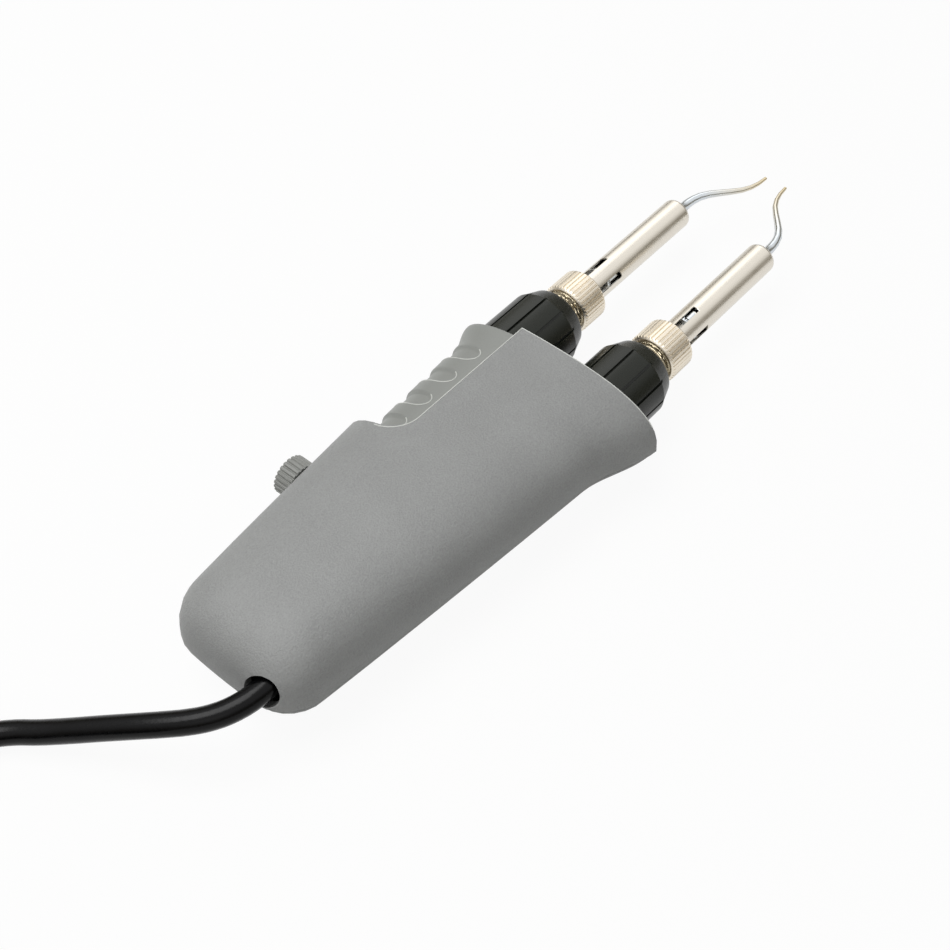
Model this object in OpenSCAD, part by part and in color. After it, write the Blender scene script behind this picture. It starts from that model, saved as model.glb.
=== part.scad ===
// Hot tweezers: a hand-held pair of heated arms in one housing. The near arm is
// clamped in the housing. The far arm is carried by a sprung finger lever that
// turns on a pin, and squeezing it brings the two tips together.
// X runs from the tail to the tips, Y to the lever's side and Z up. The origin is
// the middle of the flat under the housing.

/* [Housing] */
// Length of the housing from tail to mouth
body_l = 113.6; // [112:0.2:118]
// Distance of the tail behind the origin
rear_reach = 56.6; // [55:0.2:60]
// Width of the housing at its tail
tail_w = 41; // [40.4:0.2:43]
// Width of the housing just behind the finger stop
front_w = 55.4; // [54.8:0.2:58]
// How much wider the far side is than the near one
far_extra = 1.2; // [0.9:0.1:1.8]
// How far the finger stop flares out of the near side
nose_flare = 4.2; // [3.8:0.1:5.4]
// Length over which the finger stop flares
nose_l = 19; // [17:0.5:21]
// Outward bow of the sides
side_bow = 0.2; // [0:0.05:0.5]
// Height of the top shell over the parting plane
top_h = 15.2; // [15.1:0.1:16]
// Depth of the bottom shell under the parting plane
bottom_h = 14.5; // [14.5:0.1:15]
// How far the belly's curve would reach under its flat
belly = 1; // [0.8:0.1:1.3]
// Wall of both shells
wall = 1.8; // [1.6:0.05:1.85]
// Set-in of the bottom shell at the parting plane
lip_in = 0.8; // [0.6:0.05:0.9]
// Radius of the tail corners seen from above
tail_r = 10.5; // [9:0.5:11.5]
// Length over which the top falls away to the tail
tail_fall = 24; // [21:0.5:26]
// Outward bow of the tail face
tail_bow = 1.4; // [1:0.1:1.6]
// Diameter of the cord's hole in the tail
cord_hole_d = 8.4; // [8:0.1:8.6]
// Height of the cord's hole over the parting plane
cord_up = 4.6; // [4.5:0.1:4.8]

/* [Lever] */
// Distance of the lever's seam from the arms' middle plane
seam_y = 9.5; // [9.3:0.1:9.8]
// How far the lever's top slides in under the housing
tongue = 4; // [3.2:0.1:4.2]
// Height of the lever's crown over the arm's axis
lever_h = 13; // [12.9:0.05:13.05]
// Depth of the lever under the arm's axis
lever_drop = 13.6; // [13.4:0.05:13.8]
// Reach of the lever's side from the middle plane, at its rear
lever_rear_y = 22.3; // [22.1:0.1:22.6]
// Reach of the lever's side at the last finger groove
lever_front_y = 25; // [24.9:0.1:25.5]
// How far the lever's lip flares beyond that
lever_flare = 2.2; // [2:0.1:2.8]
// Length over which the lip flares
lever_flare_l = 7; // [6.4:0.2:7.6]
// Wall of the lever
lever_wall = 1.9; // [1.8:0.05:1.95]
// Number of finger grooves
groove_count = 4; // [3:1:4]
// Spacing of the finger grooves, as a share of the lever's length
groove_pitch_share = 0.194; // [0.186:0.001:0.198]
// Depth of the finger grooves
groove_deep = 0.9; // [0.6:0.05:0.95]
// Diameter of the pivot pin
pin_d = 4; // [3.6:0.1:4.2]
// Diameter of the hub on the pin
hub_d = 8.6; // [8.2:0.1:8.7]
// Largest turn of the lever, in degrees
lever_turn = 2.1; // [1.6:0.1:2.1]
// Outer diameter of the return spring
spring_d = 6; // [5.4:0.1:6.2]
// Wire of the return spring
spring_wire = 0.8; // [0.7:0.05:0.85]
// Number of curls in the return spring
spring_curls = 5; // [4:1:5]

/* [Arms] */
// Distance between the axes of the two arms
arm_spread = 28.3; // [28:0.1:28.6]
// Diameter of the fluted collar
collar_d = 21.5; // [21.2:0.1:21.5]
// How far the collar stands out of the mouth
collar_out = 20.5; // [20:0.1:21]
// Length of the collar's shoulder
shoulder_l = 5; // [4.6:0.1:5.3]
// Diameter of the collar's nose
collar_nose_d = 16.4; // [16:0.1:16.8]
// Number of flutes on the collar
flute_count = 12; // [10:1:14]
// Width of a flute
flute_w = 0.7; // [0.5:0.05:0.9]
// Diameter of the collar's shank, held by the housing or the lever
shank_d = 15; // [14.7:0.1:15.1]
// Outer diameter of the nipple's thread
thread_d = 12; // [11.8:0.1:12.1]
// Pitch of the thread
thread_pitch = 1.1; // [1:0.05:1.2]
// Stretch of thread that shows behind the nut
thread_show = 3.5; // [3.2:0.1:3.8]
// Diameter of the knurled nut
nut_d = 14.5; // [14.3:0.1:14.7]
// Length of the knurled nut
nut_l = 8.9; // [8.8:0.1:9.3]
// Number of ribs of the knurl
knurl_count = 40; // [32:1:44]
// Outer diameter of the tube
tube_d = 8.7; // [8.6:0.05:8.8]
// Wall of the tube
tube_wall = 0.4; // [0.35:0.05:0.45]
// Length of the tube in front of the nut
tube_out = 42.6; // [42:0.2:44]
// Length of the slots in the tube
slot_l = 10.4; // [9.6:0.2:11]
// Width of the slots in the tube
slot_w = 2; // [1.7:0.1:2.2]
// Diameter of the tip's rod
tip_d = 3; // [2.8:0.1:3]
// Diameter of the tip at its point
point_d = 0.9; // [0.8:0.05:0.95]
// Length of the rod in front of the tube
tip_out = 28.2; // [27.6:0.2:28.4]
// Gap between the two points at rest
tip_gap = 5.8; // [5.8:0.1:6.4]

/* [Electrics] */
// Diameter of the temperature knob
knob_d = 10.6; // [10.2:0.1:11]
// Thickness of the temperature knob
knob_l = 4.9; // [4.6:0.1:5.4]
// Distance of the knob from the tail, as a share of the housing's length
knob_share = 0.44; // [0.437:0.001:0.443]
// Number of ribs on the knob
knob_ribs = 24; // [20:1:28]
// Length of the circuit board, as a share of the housing's length
board_share = 0.352; // [0.349:0.001:0.355]
// Width of the circuit board
board_w = 24; // [23.6:0.1:24.2]

/* [Cord] */
// Diameter of the cord
cord_d = 5.8; // [5.4:0.1:5.85]
// Turns in each layer of the stored coil
coil_turns = 1.375; // [1.125:0.25:1.375]
// Radius of the coil's innermost turn
coil_in_r = 25; // [24:0.2:26]

/* [Hidden] */

// Overrun of cuts, and the clearances that the pieces share
over = 1;
fit = 0.05;
seat_gap = 0.1;
hole_gap = 0.3;
run_gap = 0.6;

// Reference planes
tail_x = -rear_reach;
mouth_x = tail_x + body_l;
parting_z = bottom_h;
arm_y = arm_spread / 2;
far_off = 2 * body_l;

// Housing outline, as seen from above
taper_run_in = 15;
taper_run_out = 20;
taper_from = tail_x + taper_run_in;
taper_to = mouth_x - taper_run_out;
spine_x = tail_x + tail_fall;
top_power = 2.7;
belly_power = 1.85;
corner_steps = 6;
face_steps = 3;

function mix(a, b, t) = a + (b - a) * t;
function clamp01(t) = min(1, max(0, t));
function smooth(t) = let (u = clamp01(t)) u * u * (3 - 2 * u);
function reversed(list) = [for (i = [len(list) - 1 : -1 : 0]) list[i]];
function unit(v) = v / norm(v);
function taper_share(x) = (x - taper_from) / (taper_to - taper_from);
function straight_half(x) =
    let (s = taper_share(x)) mix(tail_w, front_w, s) / 2 + 4 * side_bow * s * (1 - s);
function near_half(x) = straight_half(x) + nose_flare * smooth((x - mouth_x) / nose_l + 1);
function far_half(x) = straight_half(x) + far_extra;
function half_at(x, far) = far ? far_half(x) : near_half(x);

// Stations along the sides, closer together where the nose flares
function side_stations(front, steps) = concat(
    [for (i = [0 : steps - 1]) mix(front, mouth_x - nose_l, i / steps)],
    [for (i = [0 : steps]) mix(mouth_x - nose_l, spine_x, i / steps)]
);

// The tail, from the side round to the middle of the tail face
function tail_quarter(far, inset) =
    let (
        r = tail_r - inset,
        cx = tail_x + tail_r,
        cy = half_at(cx, far) - tail_r,
        mid_x = (spine_x + cx) / 2
    )
    concat(
        [[mid_x, half_at(mid_x, far) - inset]],
        [for (i = [0 : corner_steps])
            let (a = 90 * i / corner_steps)
            [cx - r * sin(a), cy + r * cos(a)]],
        [for (i = [1 : face_steps]) [tail_x + inset, cy * (1 - i / (face_steps + 1 / 2))]]
    );
function bowed(p, half) = [p[0] - tail_bow * clamp01(1 - pow(p[1] / half, 2)) *
    clamp01((spine_x - p[0]) / tail_fall), p[1]];
function rim_half(front, inset, far, steps) = concat(
    [for (x = side_stations(front, steps)) [x, half_at(x, far) - inset]],
    [for (p = tail_quarter(far, inset)) bowed(p, half_at(spine_x, far))]
);

// A closed shell form: ribs run from the rim up to a spine, each a quarter of a
// superellipse of the given power. A skirt carries the rim on down.
module dome(front, inset, h, power, skirt, steps, rows) {
    near = [for (p = rim_half(front, inset, false, steps)) [p[0], -p[1]]];
    far = rim_half(front, inset, true, steps);
    rim = concat(near, reversed(far));
    stations = side_stations(front, steps);
    n = len(rim);
    last = len(stations) - 1;
    low = skirt > 0 ? -1 : 0;
    per_rib = rows - low;
    function apex_of(i) = min(i < len(near) ? i : n - 1 - i, last);
    function at(i, j) = len(stations) + i * per_rib + j - low;
    apexes = [for (x = stations) [x, 0, h]];
    ribs = [for (i = [0 : n - 1])
        let (p = rim[i], q = apexes[apex_of(i)])
        for (j = [low : rows - 1])
            let (a = 90 * max(j, 0) / rows, u = pow(cos(a), 2 / power), v = pow(sin(a), 2 / power))
            j < 0 ? [p[0], p[1], -skirt] : [mix(q[0], p[0], u), mix(q[1], p[1], u), h * v]];
    sides = [for (i = [0 : n - 2]) for (j = [low : rows - 2]) for (f = [
        [at(i, j), at(i + 1, j + 1), at(i, j + 1)],
        [at(i, j), at(i + 1, j), at(i + 1, j + 1)]
    ]) f];
    crown = [for (i = [0 : n - 2])
        let (a = apex_of(i), b = apex_of(i + 1))
        for (f = concat(
            [[at(i, rows - 1), at(i + 1, rows - 1), a]],
            a == b ? [] : [[a, at(i + 1, rows - 1), b]]
        )) f];
    base = [[for (i = [n - 1 : -1 : 0]) at(i, low)]];
    open_end = [concat(
        [for (j = [low : rows - 1]) at(0, j)],
        [0],
        [for (j = [rows - 1 : -1 : low]) at(n - 1, j)]
    )];
    polyhedron(points = concat(apexes, ribs), faces = concat(sides, crown, base, open_end));
}

// A closed skin over rings of equal count, each ring turning from its first
// direction towards the one that makes a right hand with the way along the rings
module skin(rings) {
    n = len(rings[0]);
    k = len(rings);
    sides = [for (i = [0 : k - 2]) for (j = [0 : n - 1])
        let (a = i * n + j, b = i * n + (j + 1) % n)
        for (f = [[a, b + n, b], [a, a + n, b + n]]) f];
    ends = [[for (j = [0 : n - 1]) j], [for (j = [n - 1 : -1 : 0]) (k - 1) * n + j]];
    polyhedron(points = [for (s = rings) for (p = s) p], faces = concat(sides, ends));
}

// A round tube or rod along a path, one radius for each of its points
module swept(path, radii, sides, first, last) {
    end = len(path) - 1;
    skin([for (i = [0 : end])
        let (
            t = unit(i == 0 ? first : i == end ? last : path[i + 1] - path[i - 1]),
            s = unit(cross([0, 0, 1], t)),
            b = cross(t, s)
        )
        [for (k = [0 : sides - 1])
            let (a = 360 * (k + 1 / 2) / sides) path[i] + radii[i] * (cos(a) * s + sin(a) * b)]]);
}
function even_radii(path, r) = [for (p = path) r];

// An outline with evenly spaced ribs, each a land with two slanting flanks
rib_land_share = 0.5;
rib_flank_share = 0.16;
function ribbed(r, deep, count) = [for (i = [0 : count - 1]) for (c = [
        [r, 0], [r, rib_land_share],
        [r - deep, rib_land_share + rib_flank_share], [r - deep, 1 - rib_flank_share]
    ])
    let (a = 360 * (i + c[1]) / count)
    [c[0] * cos(a), c[0] * sin(a)]];

outer_steps = 9;
outer_rows = 10;
inner_steps = 4;
inner_rows = 5;
module top_form() {
    translate([0, 0, parting_z]) dome(mouth_x, 0, top_h, top_power, 0, outer_steps, outer_rows);
}
module top_hollow() {
    translate([0, 0, parting_z])
        dome(mouth_x + over, wall, top_h - wall, top_power, over, inner_steps, inner_rows);
}
// The belly is an oval that is cut flat at the rest face
module bottom_form() {
    translate([0, 0, parting_z]) mirror([0, 0, 1])
        dome(mouth_x, lip_in, bottom_h + belly, belly_power, 0, outer_steps, outer_rows);
}
module bottom_hollow() {
    translate([0, 0, parting_z]) mirror([0, 0, 1])
        dome(mouth_x + over, lip_in + wall, bottom_h - wall, belly_power, over,
            inner_steps, inner_rows);
}

// Lever opening, as seen from above: straight along the seam, then round a fillet
// to the housing's far side
notch_r = 7.6;
notch_back_share = 0.405;
notch_back = notch_back_share * body_l;
notch_slant = 2;
notch_steps = 8;
pivot_back_share = 0.44;
pivot_back = pivot_back_share * body_l;
low_room = 0.77;
low_gap = pivot_back * tan(lever_turn) + low_room;
// Positive grow shrinks the opening, negative grow widens it
module notch(grow) {
    c = [mouth_x - notch_back + notch_r + grow, seam_y + notch_r + grow];
    slant_x = c[0] - notch_r - notch_slant;
    polygon(concat(
        [[mouth_x + collar_out, seam_y + grow]],
        [for (i = [0 : notch_steps])
            let (a = mix(270, 180, i / notch_steps)) c + notch_r * [cos(a), sin(a)]],
        [[slant_x, 2 * arm_spread]],
        [[mouth_x + collar_out, 2 * arm_spread]]
    ));
}

// Housing screws, driven from below
screw_d = 3;
screw_head_d = 5.5;
screw_head_l = 2.4;
screw_room_d = 6.2;
screw_cross_w = 0.8;
screw_grip = 8.5;
boss_d = 6.8;
front_screw_back = 13;
front_screw_y = -2.2;
near_screw_share = 0.4225;
near_screw_y = -16.8;
tail_screw_in = 9;
tail_screw_y = 8;
far_screw_share = 0.3433;
far_screw_y = 17;
deep_sink = 9;
mid_sink = 6.5;
flat_sink = 5.5;
screw_places = [
    [mouth_x - front_screw_back, front_screw_y, flat_sink],
    [mouth_x - near_screw_share * body_l, near_screw_y, deep_sink],
    [tail_x + tail_screw_in, tail_screw_y, mid_sink],
    [tail_x + far_screw_share * body_l, far_screw_y, deep_sink]
];

// Bulkheads that clamp the fixed arm, and the same seats in the lever
rib_t = 2;
collar_in = 4;
shank_l = 14;
sleeve_d = 11;
sleeve_l = 8;
shank_end = -collar_in - shank_l;
sleeve_end = shank_end - sleeve_l;
front_rib_x = mouth_x - collar_in - run_gap - rib_t;
rear_rib_x = mouth_x + (shank_end + sleeve_end) / 2 - rib_t / 2;
front_rib_y = 0.8;
rear_rib_y = -7;
collar_room_d = collar_d + 2 * hole_gap;

// Pivot
pivot_x = mouth_x - pivot_back;
pivot_y = 14;
hub_half = 5.7;
pin_half = 10;
pin_boss_d = 8;
pin_boss_room = 9;

// Return spring and its two walls
spring_back_share = 0.317;
spring_x = mouth_x - spring_back_share * body_l;
spring_drop = 4.5;
spring_z = parting_z - spring_drop;
spring_wall_y = 1;
spring_wall_t = 1.5;
spring_seat_y = 10;
spring_seat_w = 8;
peg_d = 3;
peg_l = 1.6;

// Temperature control
pot_x = tail_x + knob_share * body_l;
pot_w = 9.6;
pot_h = 11;
pot_t = 6;
shaft_d = 6;
pot_setback = 6.2;
cheek_t = 1.2;
knob_gap = 0.5;
knob_deep = 0.45;
shaft_in_pot = 2;
shaft_in_knob = 3.6;
pot_wall_y = far_half(pot_x);
pot_front_y = pot_wall_y - pot_setback;
knob_y = pot_wall_y + knob_gap;

// Circuit board and its posts
board_l = board_share * body_l;
board_t = 1.6;
board_z = 7.1;
board_top = board_z + board_t;
board_in = 16;
board_side = 12.5;
board_x = tail_x + board_in;
board_y = -board_side;
post_d = 5;
post_inset = 3;
board_screw_d = 2;
board_head_d = 3.8;
board_head_l = 1.4;
board_grip = 4;
post_places = [for (sx = [0, 1]) for (sy = [0, 1])
    [board_x + mix(post_inset, board_l - post_inset, sx),
     board_y + mix(post_inset, board_w - post_inset, sy)]];

// Cord in the tail, and its clip
cord_r = cord_d / 2;
cord_y = -10.8;
cord_z = parting_z + cord_up;
cord_end_in = 15.6;
clip_in = 8;
clip_x = tail_x + clip_in;
clip_l = 5;
clip_t = 1.2;
clip_ear = 6;
clip_screw_d = 2.4;
clip_head_d = 4.4;
clip_head_l = 1.6;
clip_grip = 5;
clip_screw_y = cord_y + cord_r + clip_t + clip_head_d / 2 + seat_gap;

module arm_frame() {
    translate([mouth_x, arm_y, parting_z]) rotate([0, 90, 0]) children();
}
module arm_axis(side) {
    if (side < 0) mirror([0, 1, 0]) arm_frame() children();
    else arm_frame() children();
}
module boss_columns() {
    for (p = screw_places)
        translate([p[0], p[1], -over]) cylinder(h = 3 * parting_z, d = boss_d, $fn = 24);
}
// Slabs left standing in the hollows of both shells
module bulkheads() {
    translate([front_rib_x, -far_off, -over])
        cube([rib_t, far_off + front_rib_y, 3 * parting_z]);
    translate([rear_rib_x, -far_off, -over])
        cube([rib_t, far_off + rear_rib_y, 3 * parting_z]);
}
// Seats of the arm, from the sleeve out to the room round the collar
module arm_seats(side) {
    arm_axis(side) {
        translate([0, 0, sleeve_end - over])
            cylinder(h = sleeve_l + over, d = sleeve_d + 2 * fit, $fn = 48);
        translate([0, 0, shank_end - over])
            cylinder(h = shank_l + collar_in, d = shank_d + 2 * fit, $fn = 48);
        translate([0, 0, -collar_in - hole_gap])
            cylinder(h = collar_in + 2 * over, d = collar_room_d, $fn = 48);
    }
}
module pin_column(from, to, d) {
    translate([pivot_x, pivot_y, from]) cylinder(h = to - from, d = d, $fn = 32);
}
module cord_bore() {
    translate([tail_x - 2 * tail_bow, cord_y, cord_z]) rotate([0, 90, 0])
        cylinder(h = tail_r, d = cord_hole_d, $fn = 40);
}
module shaft_bore() {
    translate([pot_x, pot_wall_y - 3 * wall, parting_z]) rotate([-90, 0, 0])
        cylinder(h = 5 * wall, d = shaft_d + 2 * hole_gap, $fn = 40);
}

module top_shell() color([0.59, 0.59, 0.58]) {
    difference() {
        top_form();
        difference() {
            top_hollow();
            bulkheads();
            boss_columns();
            pin_column(parting_z + hub_half + hole_gap, 3 * parting_z, pin_boss_d);
        }
        translate([0, 0, -over]) linear_extrude(3 * parting_z) notch(0);
        for (p = screw_places)
            translate([p[0], p[1], parting_z - over])
                cylinder(h = screw_grip + over + fit, d = screw_d + fit, $fn = 20);
        pin_column(parting_z, parting_z + pin_half + fit, pin_d + fit);
        arm_seats(-1);
        cord_bore();
        shaft_bore();
    }
}

module pot_cradle() {
    w = pot_w + 2 * fit;
    difference() {
        translate([pot_x - w / 2 - cheek_t, pot_front_y - pot_t, -over])
            cube([w + 2 * cheek_t, pot_t, parting_z + over]);
        translate([pot_x - w / 2, pot_front_y - pot_t - over, parting_z - pot_h / 2])
            cube([w, pot_t + 2 * over, parting_z]);
    }
}
module clip_post() {
    translate([clip_x - clip_l / 2, cord_y - cord_r - clip_t, -over])
        cube([clip_l, cord_d + 2 * clip_t + clip_ear, parting_z + over]);
}

module bottom_shell() color([0.4, 0.4, 0.39]) {
    difference() {
        union() {
            difference() {
                bottom_form();
                difference() {
                    bottom_hollow();
                    bulkheads();
                    boss_columns();
                    for (p = post_places)
                        translate([p[0], p[1], -over])
                            cylinder(h = board_z + over, d = post_d, $fn = 24);
                    translate([spring_x - spring_seat_w / 2, spring_wall_y, -over])
                        cube([spring_seat_w, spring_wall_t, parting_z + over]);
                    clip_post();
                    pot_cradle();
                }
                translate([0, 0, -over]) linear_extrude(3 * parting_z) notch(-low_gap);
            }
            intersection() {
                bottom_form();
                pin_column(0, parting_z - hub_half - hole_gap, pin_boss_d);
            }
        }
        translate([-far_off, -far_off, -parting_z]) cube([2 * far_off, 2 * far_off, parting_z]);
        for (p = screw_places) translate([p[0], p[1], -over]) {
            cylinder(h = parting_z + 2 * over, d = screw_d + 2 * seat_gap, $fn = 20);
            cylinder(h = p[2] + over, d = screw_room_d, $fn = 24);
        }
        for (p = post_places)
            translate([p[0], p[1], board_z - board_grip])
                cylinder(h = board_grip + over, d = board_screw_d + fit, $fn = 16);
        translate([clip_x, clip_screw_y, parting_z - clip_grip])
            cylinder(h = clip_grip + over, d = clip_screw_d + fit, $fn = 16);
        pin_column(parting_z - pin_half - fit, parting_z, pin_d + fit);
        arm_seats(-1);
        shaft_bore();
    }
}

// A pan-head screw: its head stands on the plane at z = 0 and its shank runs down
module screw(d, l, head_d, head_l) {
    translate([0, 0, -l]) cylinder(h = l, d = d, $fn = 20);
    difference() {
        cylinder(h = head_l, d = head_d, $fn = 24);
        for (a = [0, 90]) rotate(a) translate([-head_d / 3, -screw_cross_w / 2, head_l / 2])
            cube([head_d * 2 / 3, screw_cross_w, head_l]);
    }
}

module housing_screws() color([0.72, 0.72, 0.7]) {
    for (p = screw_places) translate([p[0], p[1], p[2]]) mirror([0, 0, 1])
        screw(screw_d, parting_z - p[2] + screw_grip, screw_head_d, screw_head_l);
}

// Lever: sections across it run from its underside, round its side, to its crown
lever_power = 2.5;
lever_low_power = 2.4;
lever_rows = 7;
lever_low_rows = 5;
lever_set_in = 1.5;
lever_front_x = mouth_x - lever_set_in;
lever_l = lever_front_x - pivot_x;
groove_pitch = groove_pitch_share * lever_l;
groove_first_share = 0.1755;
groove_half_share = 0.0866;
groove_half = groove_half_share * lever_l;
groove_end_a = 33;
groove_fade_a = 20;
groove_low_a = 25;
groove_steep = 2.4;
function groove_x(i) = lever_front_x - groove_first_share * lever_l - i * groove_pitch;
function groove_at(x, a) = max([for (i = [0 : groove_count - 1])
    let (
        u = (x - groove_x(i)) / groove_half,
        v = max(0, a > 0 ? a - groove_end_a : -a - groove_low_a) / groove_fade_a
    )
    groove_deep * clamp01(groove_steep * (1 - u * u - v * v))]);
function lever_half(x) =
    mix(lever_rear_y, lever_front_y, (x - pivot_x) / (lever_front_x - lever_flare_l - pivot_x)) +
    lever_flare * smooth((x - lever_front_x) / lever_flare_l + 1);
function lever_point(w, h, power, a) =
    [w * pow(cos(a), 2 / power), (a < 0 ? -h : h) * pow(abs(sin(a)), 2 / power)];
function lever_section(x, inset, grooved) = [for (j = [-lever_low_rows : lever_rows])
    let (
        a = j < 0 ? 90 * j / lever_low_rows : 90 * j / lever_rows,
        w = lever_half(min(x, lever_front_x)) - inset,
        h = (j < 0 ? lever_drop : lever_h) - inset,
        q = lever_point(w, h, j < 0 ? lever_low_power : lever_power, a),
        g = grooved ? groove_at(x, a) : 0
    )
    [x, q[0] - g * q[0] / norm(q), q[1] - g * q[1] / norm(q)]];
module lever_form(stations, inset, grooved) {
    translate([0, 0, parting_z])
        skin([for (x = stations) lever_section(x, inset, grooved)]);
}
groove_station_shares = [1, 0.72, 0.4, 0, -0.4, -0.72, -1];
lip_station_shares = [1, 0.75, 0.5];
lever_outer_stations = reversed(concat(
    [for (s = lip_station_shares) mix(lever_front_x - lever_flare_l, lever_front_x, s)],
    [for (i = [0 : groove_count - 1]) for (s = groove_station_shares)
        groove_x(i) + s * groove_half],
    [(groove_x(groove_count - 1) - groove_half + pivot_x) / 2, pivot_x]
));
lever_inner_stations = [pivot_x - over, lever_front_x - lever_flare_l,
    lever_front_x - lever_flare_l / 2, lever_front_x, lever_front_x + over];

// The lever's seats for the arm stop short of the housing below the seam
lever_seat_y = 5.2;
lever_seat_z = 4.2;
back_slab_in = 5.5;
back_slab_t = 2.5;
back_slab_y = 12;
arm_block_l = 7;
module lever_skin() {
    difference() {
        lever_form(lever_outer_stations, 0, true);
        lever_form(lever_inner_stations, lever_wall, false);
        // Above the parting plane the lever reaches in under the housing
        translate([-far_off, -far_off, parting_z])
            cube([2 * far_off, far_off + seam_y - tongue, parting_z]);
        // Below it the lever stops at its own opening in the bottom shell
        difference() {
            translate([-far_off, -far_off, -over])
                cube([2 * far_off, 2 * far_off, parting_z + over]);
            translate([0, 0, -2 * over]) linear_extrude(parting_z + 4 * over) notch(seat_gap);
        }
        pin_column(parting_z + hub_half, 3 * parting_z, pin_boss_room);
        pin_column(-parting_z, parting_z - hub_half, pin_boss_room);
    }
}
module lever_slab(x, t, y) {
    translate([x, y, -over]) cube([t, 2 * arm_spread, 3 * parting_z]);
}
module lever_slabs() {
    intersection() {
        lever_form(lever_inner_stations, lever_wall / 2, false);
        difference() {
            union() {
                lever_slab(front_rib_x, rib_t, lever_seat_y);
                lever_slab(rear_rib_x, rib_t, lever_seat_y);
                lever_slab(pivot_x + back_slab_in, back_slab_t, back_slab_y);
            }
            translate([-far_off, -far_off, -over])
                cube([2 * far_off, far_off + seam_y + seat_gap, lever_seat_z + over]);
        }
    }
}
module lever() color([0.62, 0.62, 0.61]) {
    hub_low = parting_z - hub_half;
    seat_low = parting_z - lever_drop + lever_wall;
    difference() {
        union() {
            lever_skin();
            lever_slabs();
            pin_column(hub_low, parting_z + hub_half, hub_d);
            translate([pivot_x, pivot_y - hub_d / 2, hub_low])
                cube([arm_block_l, hub_d, 2 * hub_half]);
            translate([spring_x - spring_seat_w / 2, spring_seat_y, seat_low])
                cube([spring_seat_w, spring_wall_t, parting_z - seat_low]);
            translate([spring_x, spring_seat_y, spring_z]) rotate([90, 0, 0])
                cylinder(h = peg_l, d = peg_d, $fn = 24);
        }
        arm_seats(1);
        pin_column(-over, 3 * parting_z, pin_d + 2 * fit);
    }
}

module pivot_pin() color([0.78, 0.77, 0.74]) {
    pin_column(parting_z - pin_half, parting_z + pin_half, pin_d);
}

// Return spring, one unbroken wire between the housing's wall and the lever's
curl_rings = 8;
wire_sides = 6;
wire_r = spring_wire / 2;
spring_r = spring_d / 2 - wire_r;
spring_low_y = spring_wall_y + spring_wall_t + wire_r + fit;
spring_high_y = spring_seat_y - wire_r - fit;
spring_rings = spring_curls * curl_rings;
module return_spring() color([0.7, 0.7, 0.68]) {
    skin([for (i = [0 : spring_rings])
        let (
            a = 360 * i / curl_rings,
            out = [cos(a), 0, sin(a)],
            p = [spring_x, mix(spring_low_y, spring_high_y, i / spring_rings), spring_z]
        )
        [for (k = [0 : wire_sides - 1])
            let (b = 360 * k / wire_sides)
            p + (spring_r + wire_r * cos(b)) * out + wire_r * sin(b) * [0, 1, 0]]]);
}

// Lengths along an arm, counted from the mouth
nipple_in = 6;
nipple_shank_d = 10;
nipple_bore_d = 5.6;
wire_bore_d = 6;
thread_deep = 0.6;
nut_from = collar_out + thread_show;
nut_to = nut_from + nut_l;
nut_lip = 1.9;
nut_lip_d = 9.2;
nut_chamfer = 0.7;
knurl_deep = 0.35;
flange_d = 11.2;
flange_t = 1.4;
flange_to = nut_to - nut_lip - fit;
flange_from = flange_to - flange_t;
nipple_to = flange_from - fit;
tube_to = nut_to + tube_out;
tube_round = 1.2;
tube_mouth_d = 3.4;
round_steps = 4;
slot_start = 0.2;
slot_count = 4;
moving_slot_turn = 66;
fixed_slot_turn = 88;
heater_d = 4.4;
heater_from = 19;
heater_to = 68;
socket_from = 38;
socket_d = 6.6;
collar_chamfer = 0.6;
flute_l = 20;

module collar() {
    r = collar_d / 2;
    nose_r = collar_nose_d / 2;
    shoulder = collar_out - shoulder_l;
    difference() {
        rotate_extrude($fn = 64) polygon([
            [wire_bore_d / 2, sleeve_end], [sleeve_d / 2, sleeve_end],
            [sleeve_d / 2, shank_end], [shank_d / 2, shank_end],
            [shank_d / 2, -collar_in], [r - collar_chamfer, -collar_in],
            [r, -collar_in + collar_chamfer], [r, shoulder - collar_chamfer],
            [r - collar_chamfer / 2, shoulder], [nose_r + collar_chamfer, collar_out - collar_chamfer],
            [nose_r, collar_out], [nipple_shank_d / 2 + fit, collar_out],
            [nipple_shank_d / 2 + fit, nipple_in - fit], [wire_bore_d / 2, nipple_in - fit]
        ]);
        for (i = [0 : flute_count - 1]) rotate(360 * i / flute_count)
            translate([r - flute_w, -flute_w / 2, -collar_in - over])
                cube([2 * flute_w, flute_w, flute_l + over]);
    }
}
module nipple() {
    r = thread_d / 2;
    turns = floor((nipple_to - collar_out) / thread_pitch);
    step = (nipple_to - collar_out) / turns;
    rotate_extrude($fn = 48) polygon(concat(
        [[nipple_bore_d / 2, nipple_in], [nipple_shank_d / 2, nipple_in],
         [nipple_shank_d / 2, collar_out + fit], [r - thread_deep, collar_out + fit]],
        [for (i = [0 : turns - 1]) for (q = [[r, 1 / 2], [r - thread_deep, 1]])
            [q[0], collar_out + (i + q[1]) * step]],
        [[nipple_bore_d / 2, nipple_to]]
    ));
}
module nut() {
    r = nut_d / 2;
    difference() {
        intersection() {
            translate([0, 0, nut_from])
                linear_extrude(nut_l) polygon(ribbed(r, knurl_deep, knurl_count));
            rotate_extrude($fn = 48) polygon([
                [0, nut_from], [r - nut_chamfer, nut_from], [r + over, nut_from + nut_chamfer + over],
                [r + over, nut_to - nut_chamfer - over], [r - nut_chamfer, nut_to], [0, nut_to]
            ]);
        }
        translate([0, 0, nut_from - over])
            cylinder(h = nut_l - nut_lip + over, d = thread_d + 2 * seat_gap, $fn = 48);
        translate([0, 0, nut_from - over])
            cylinder(h = nut_l + 2 * over, d = nut_lip_d, $fn = 48);
    }
}
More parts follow.
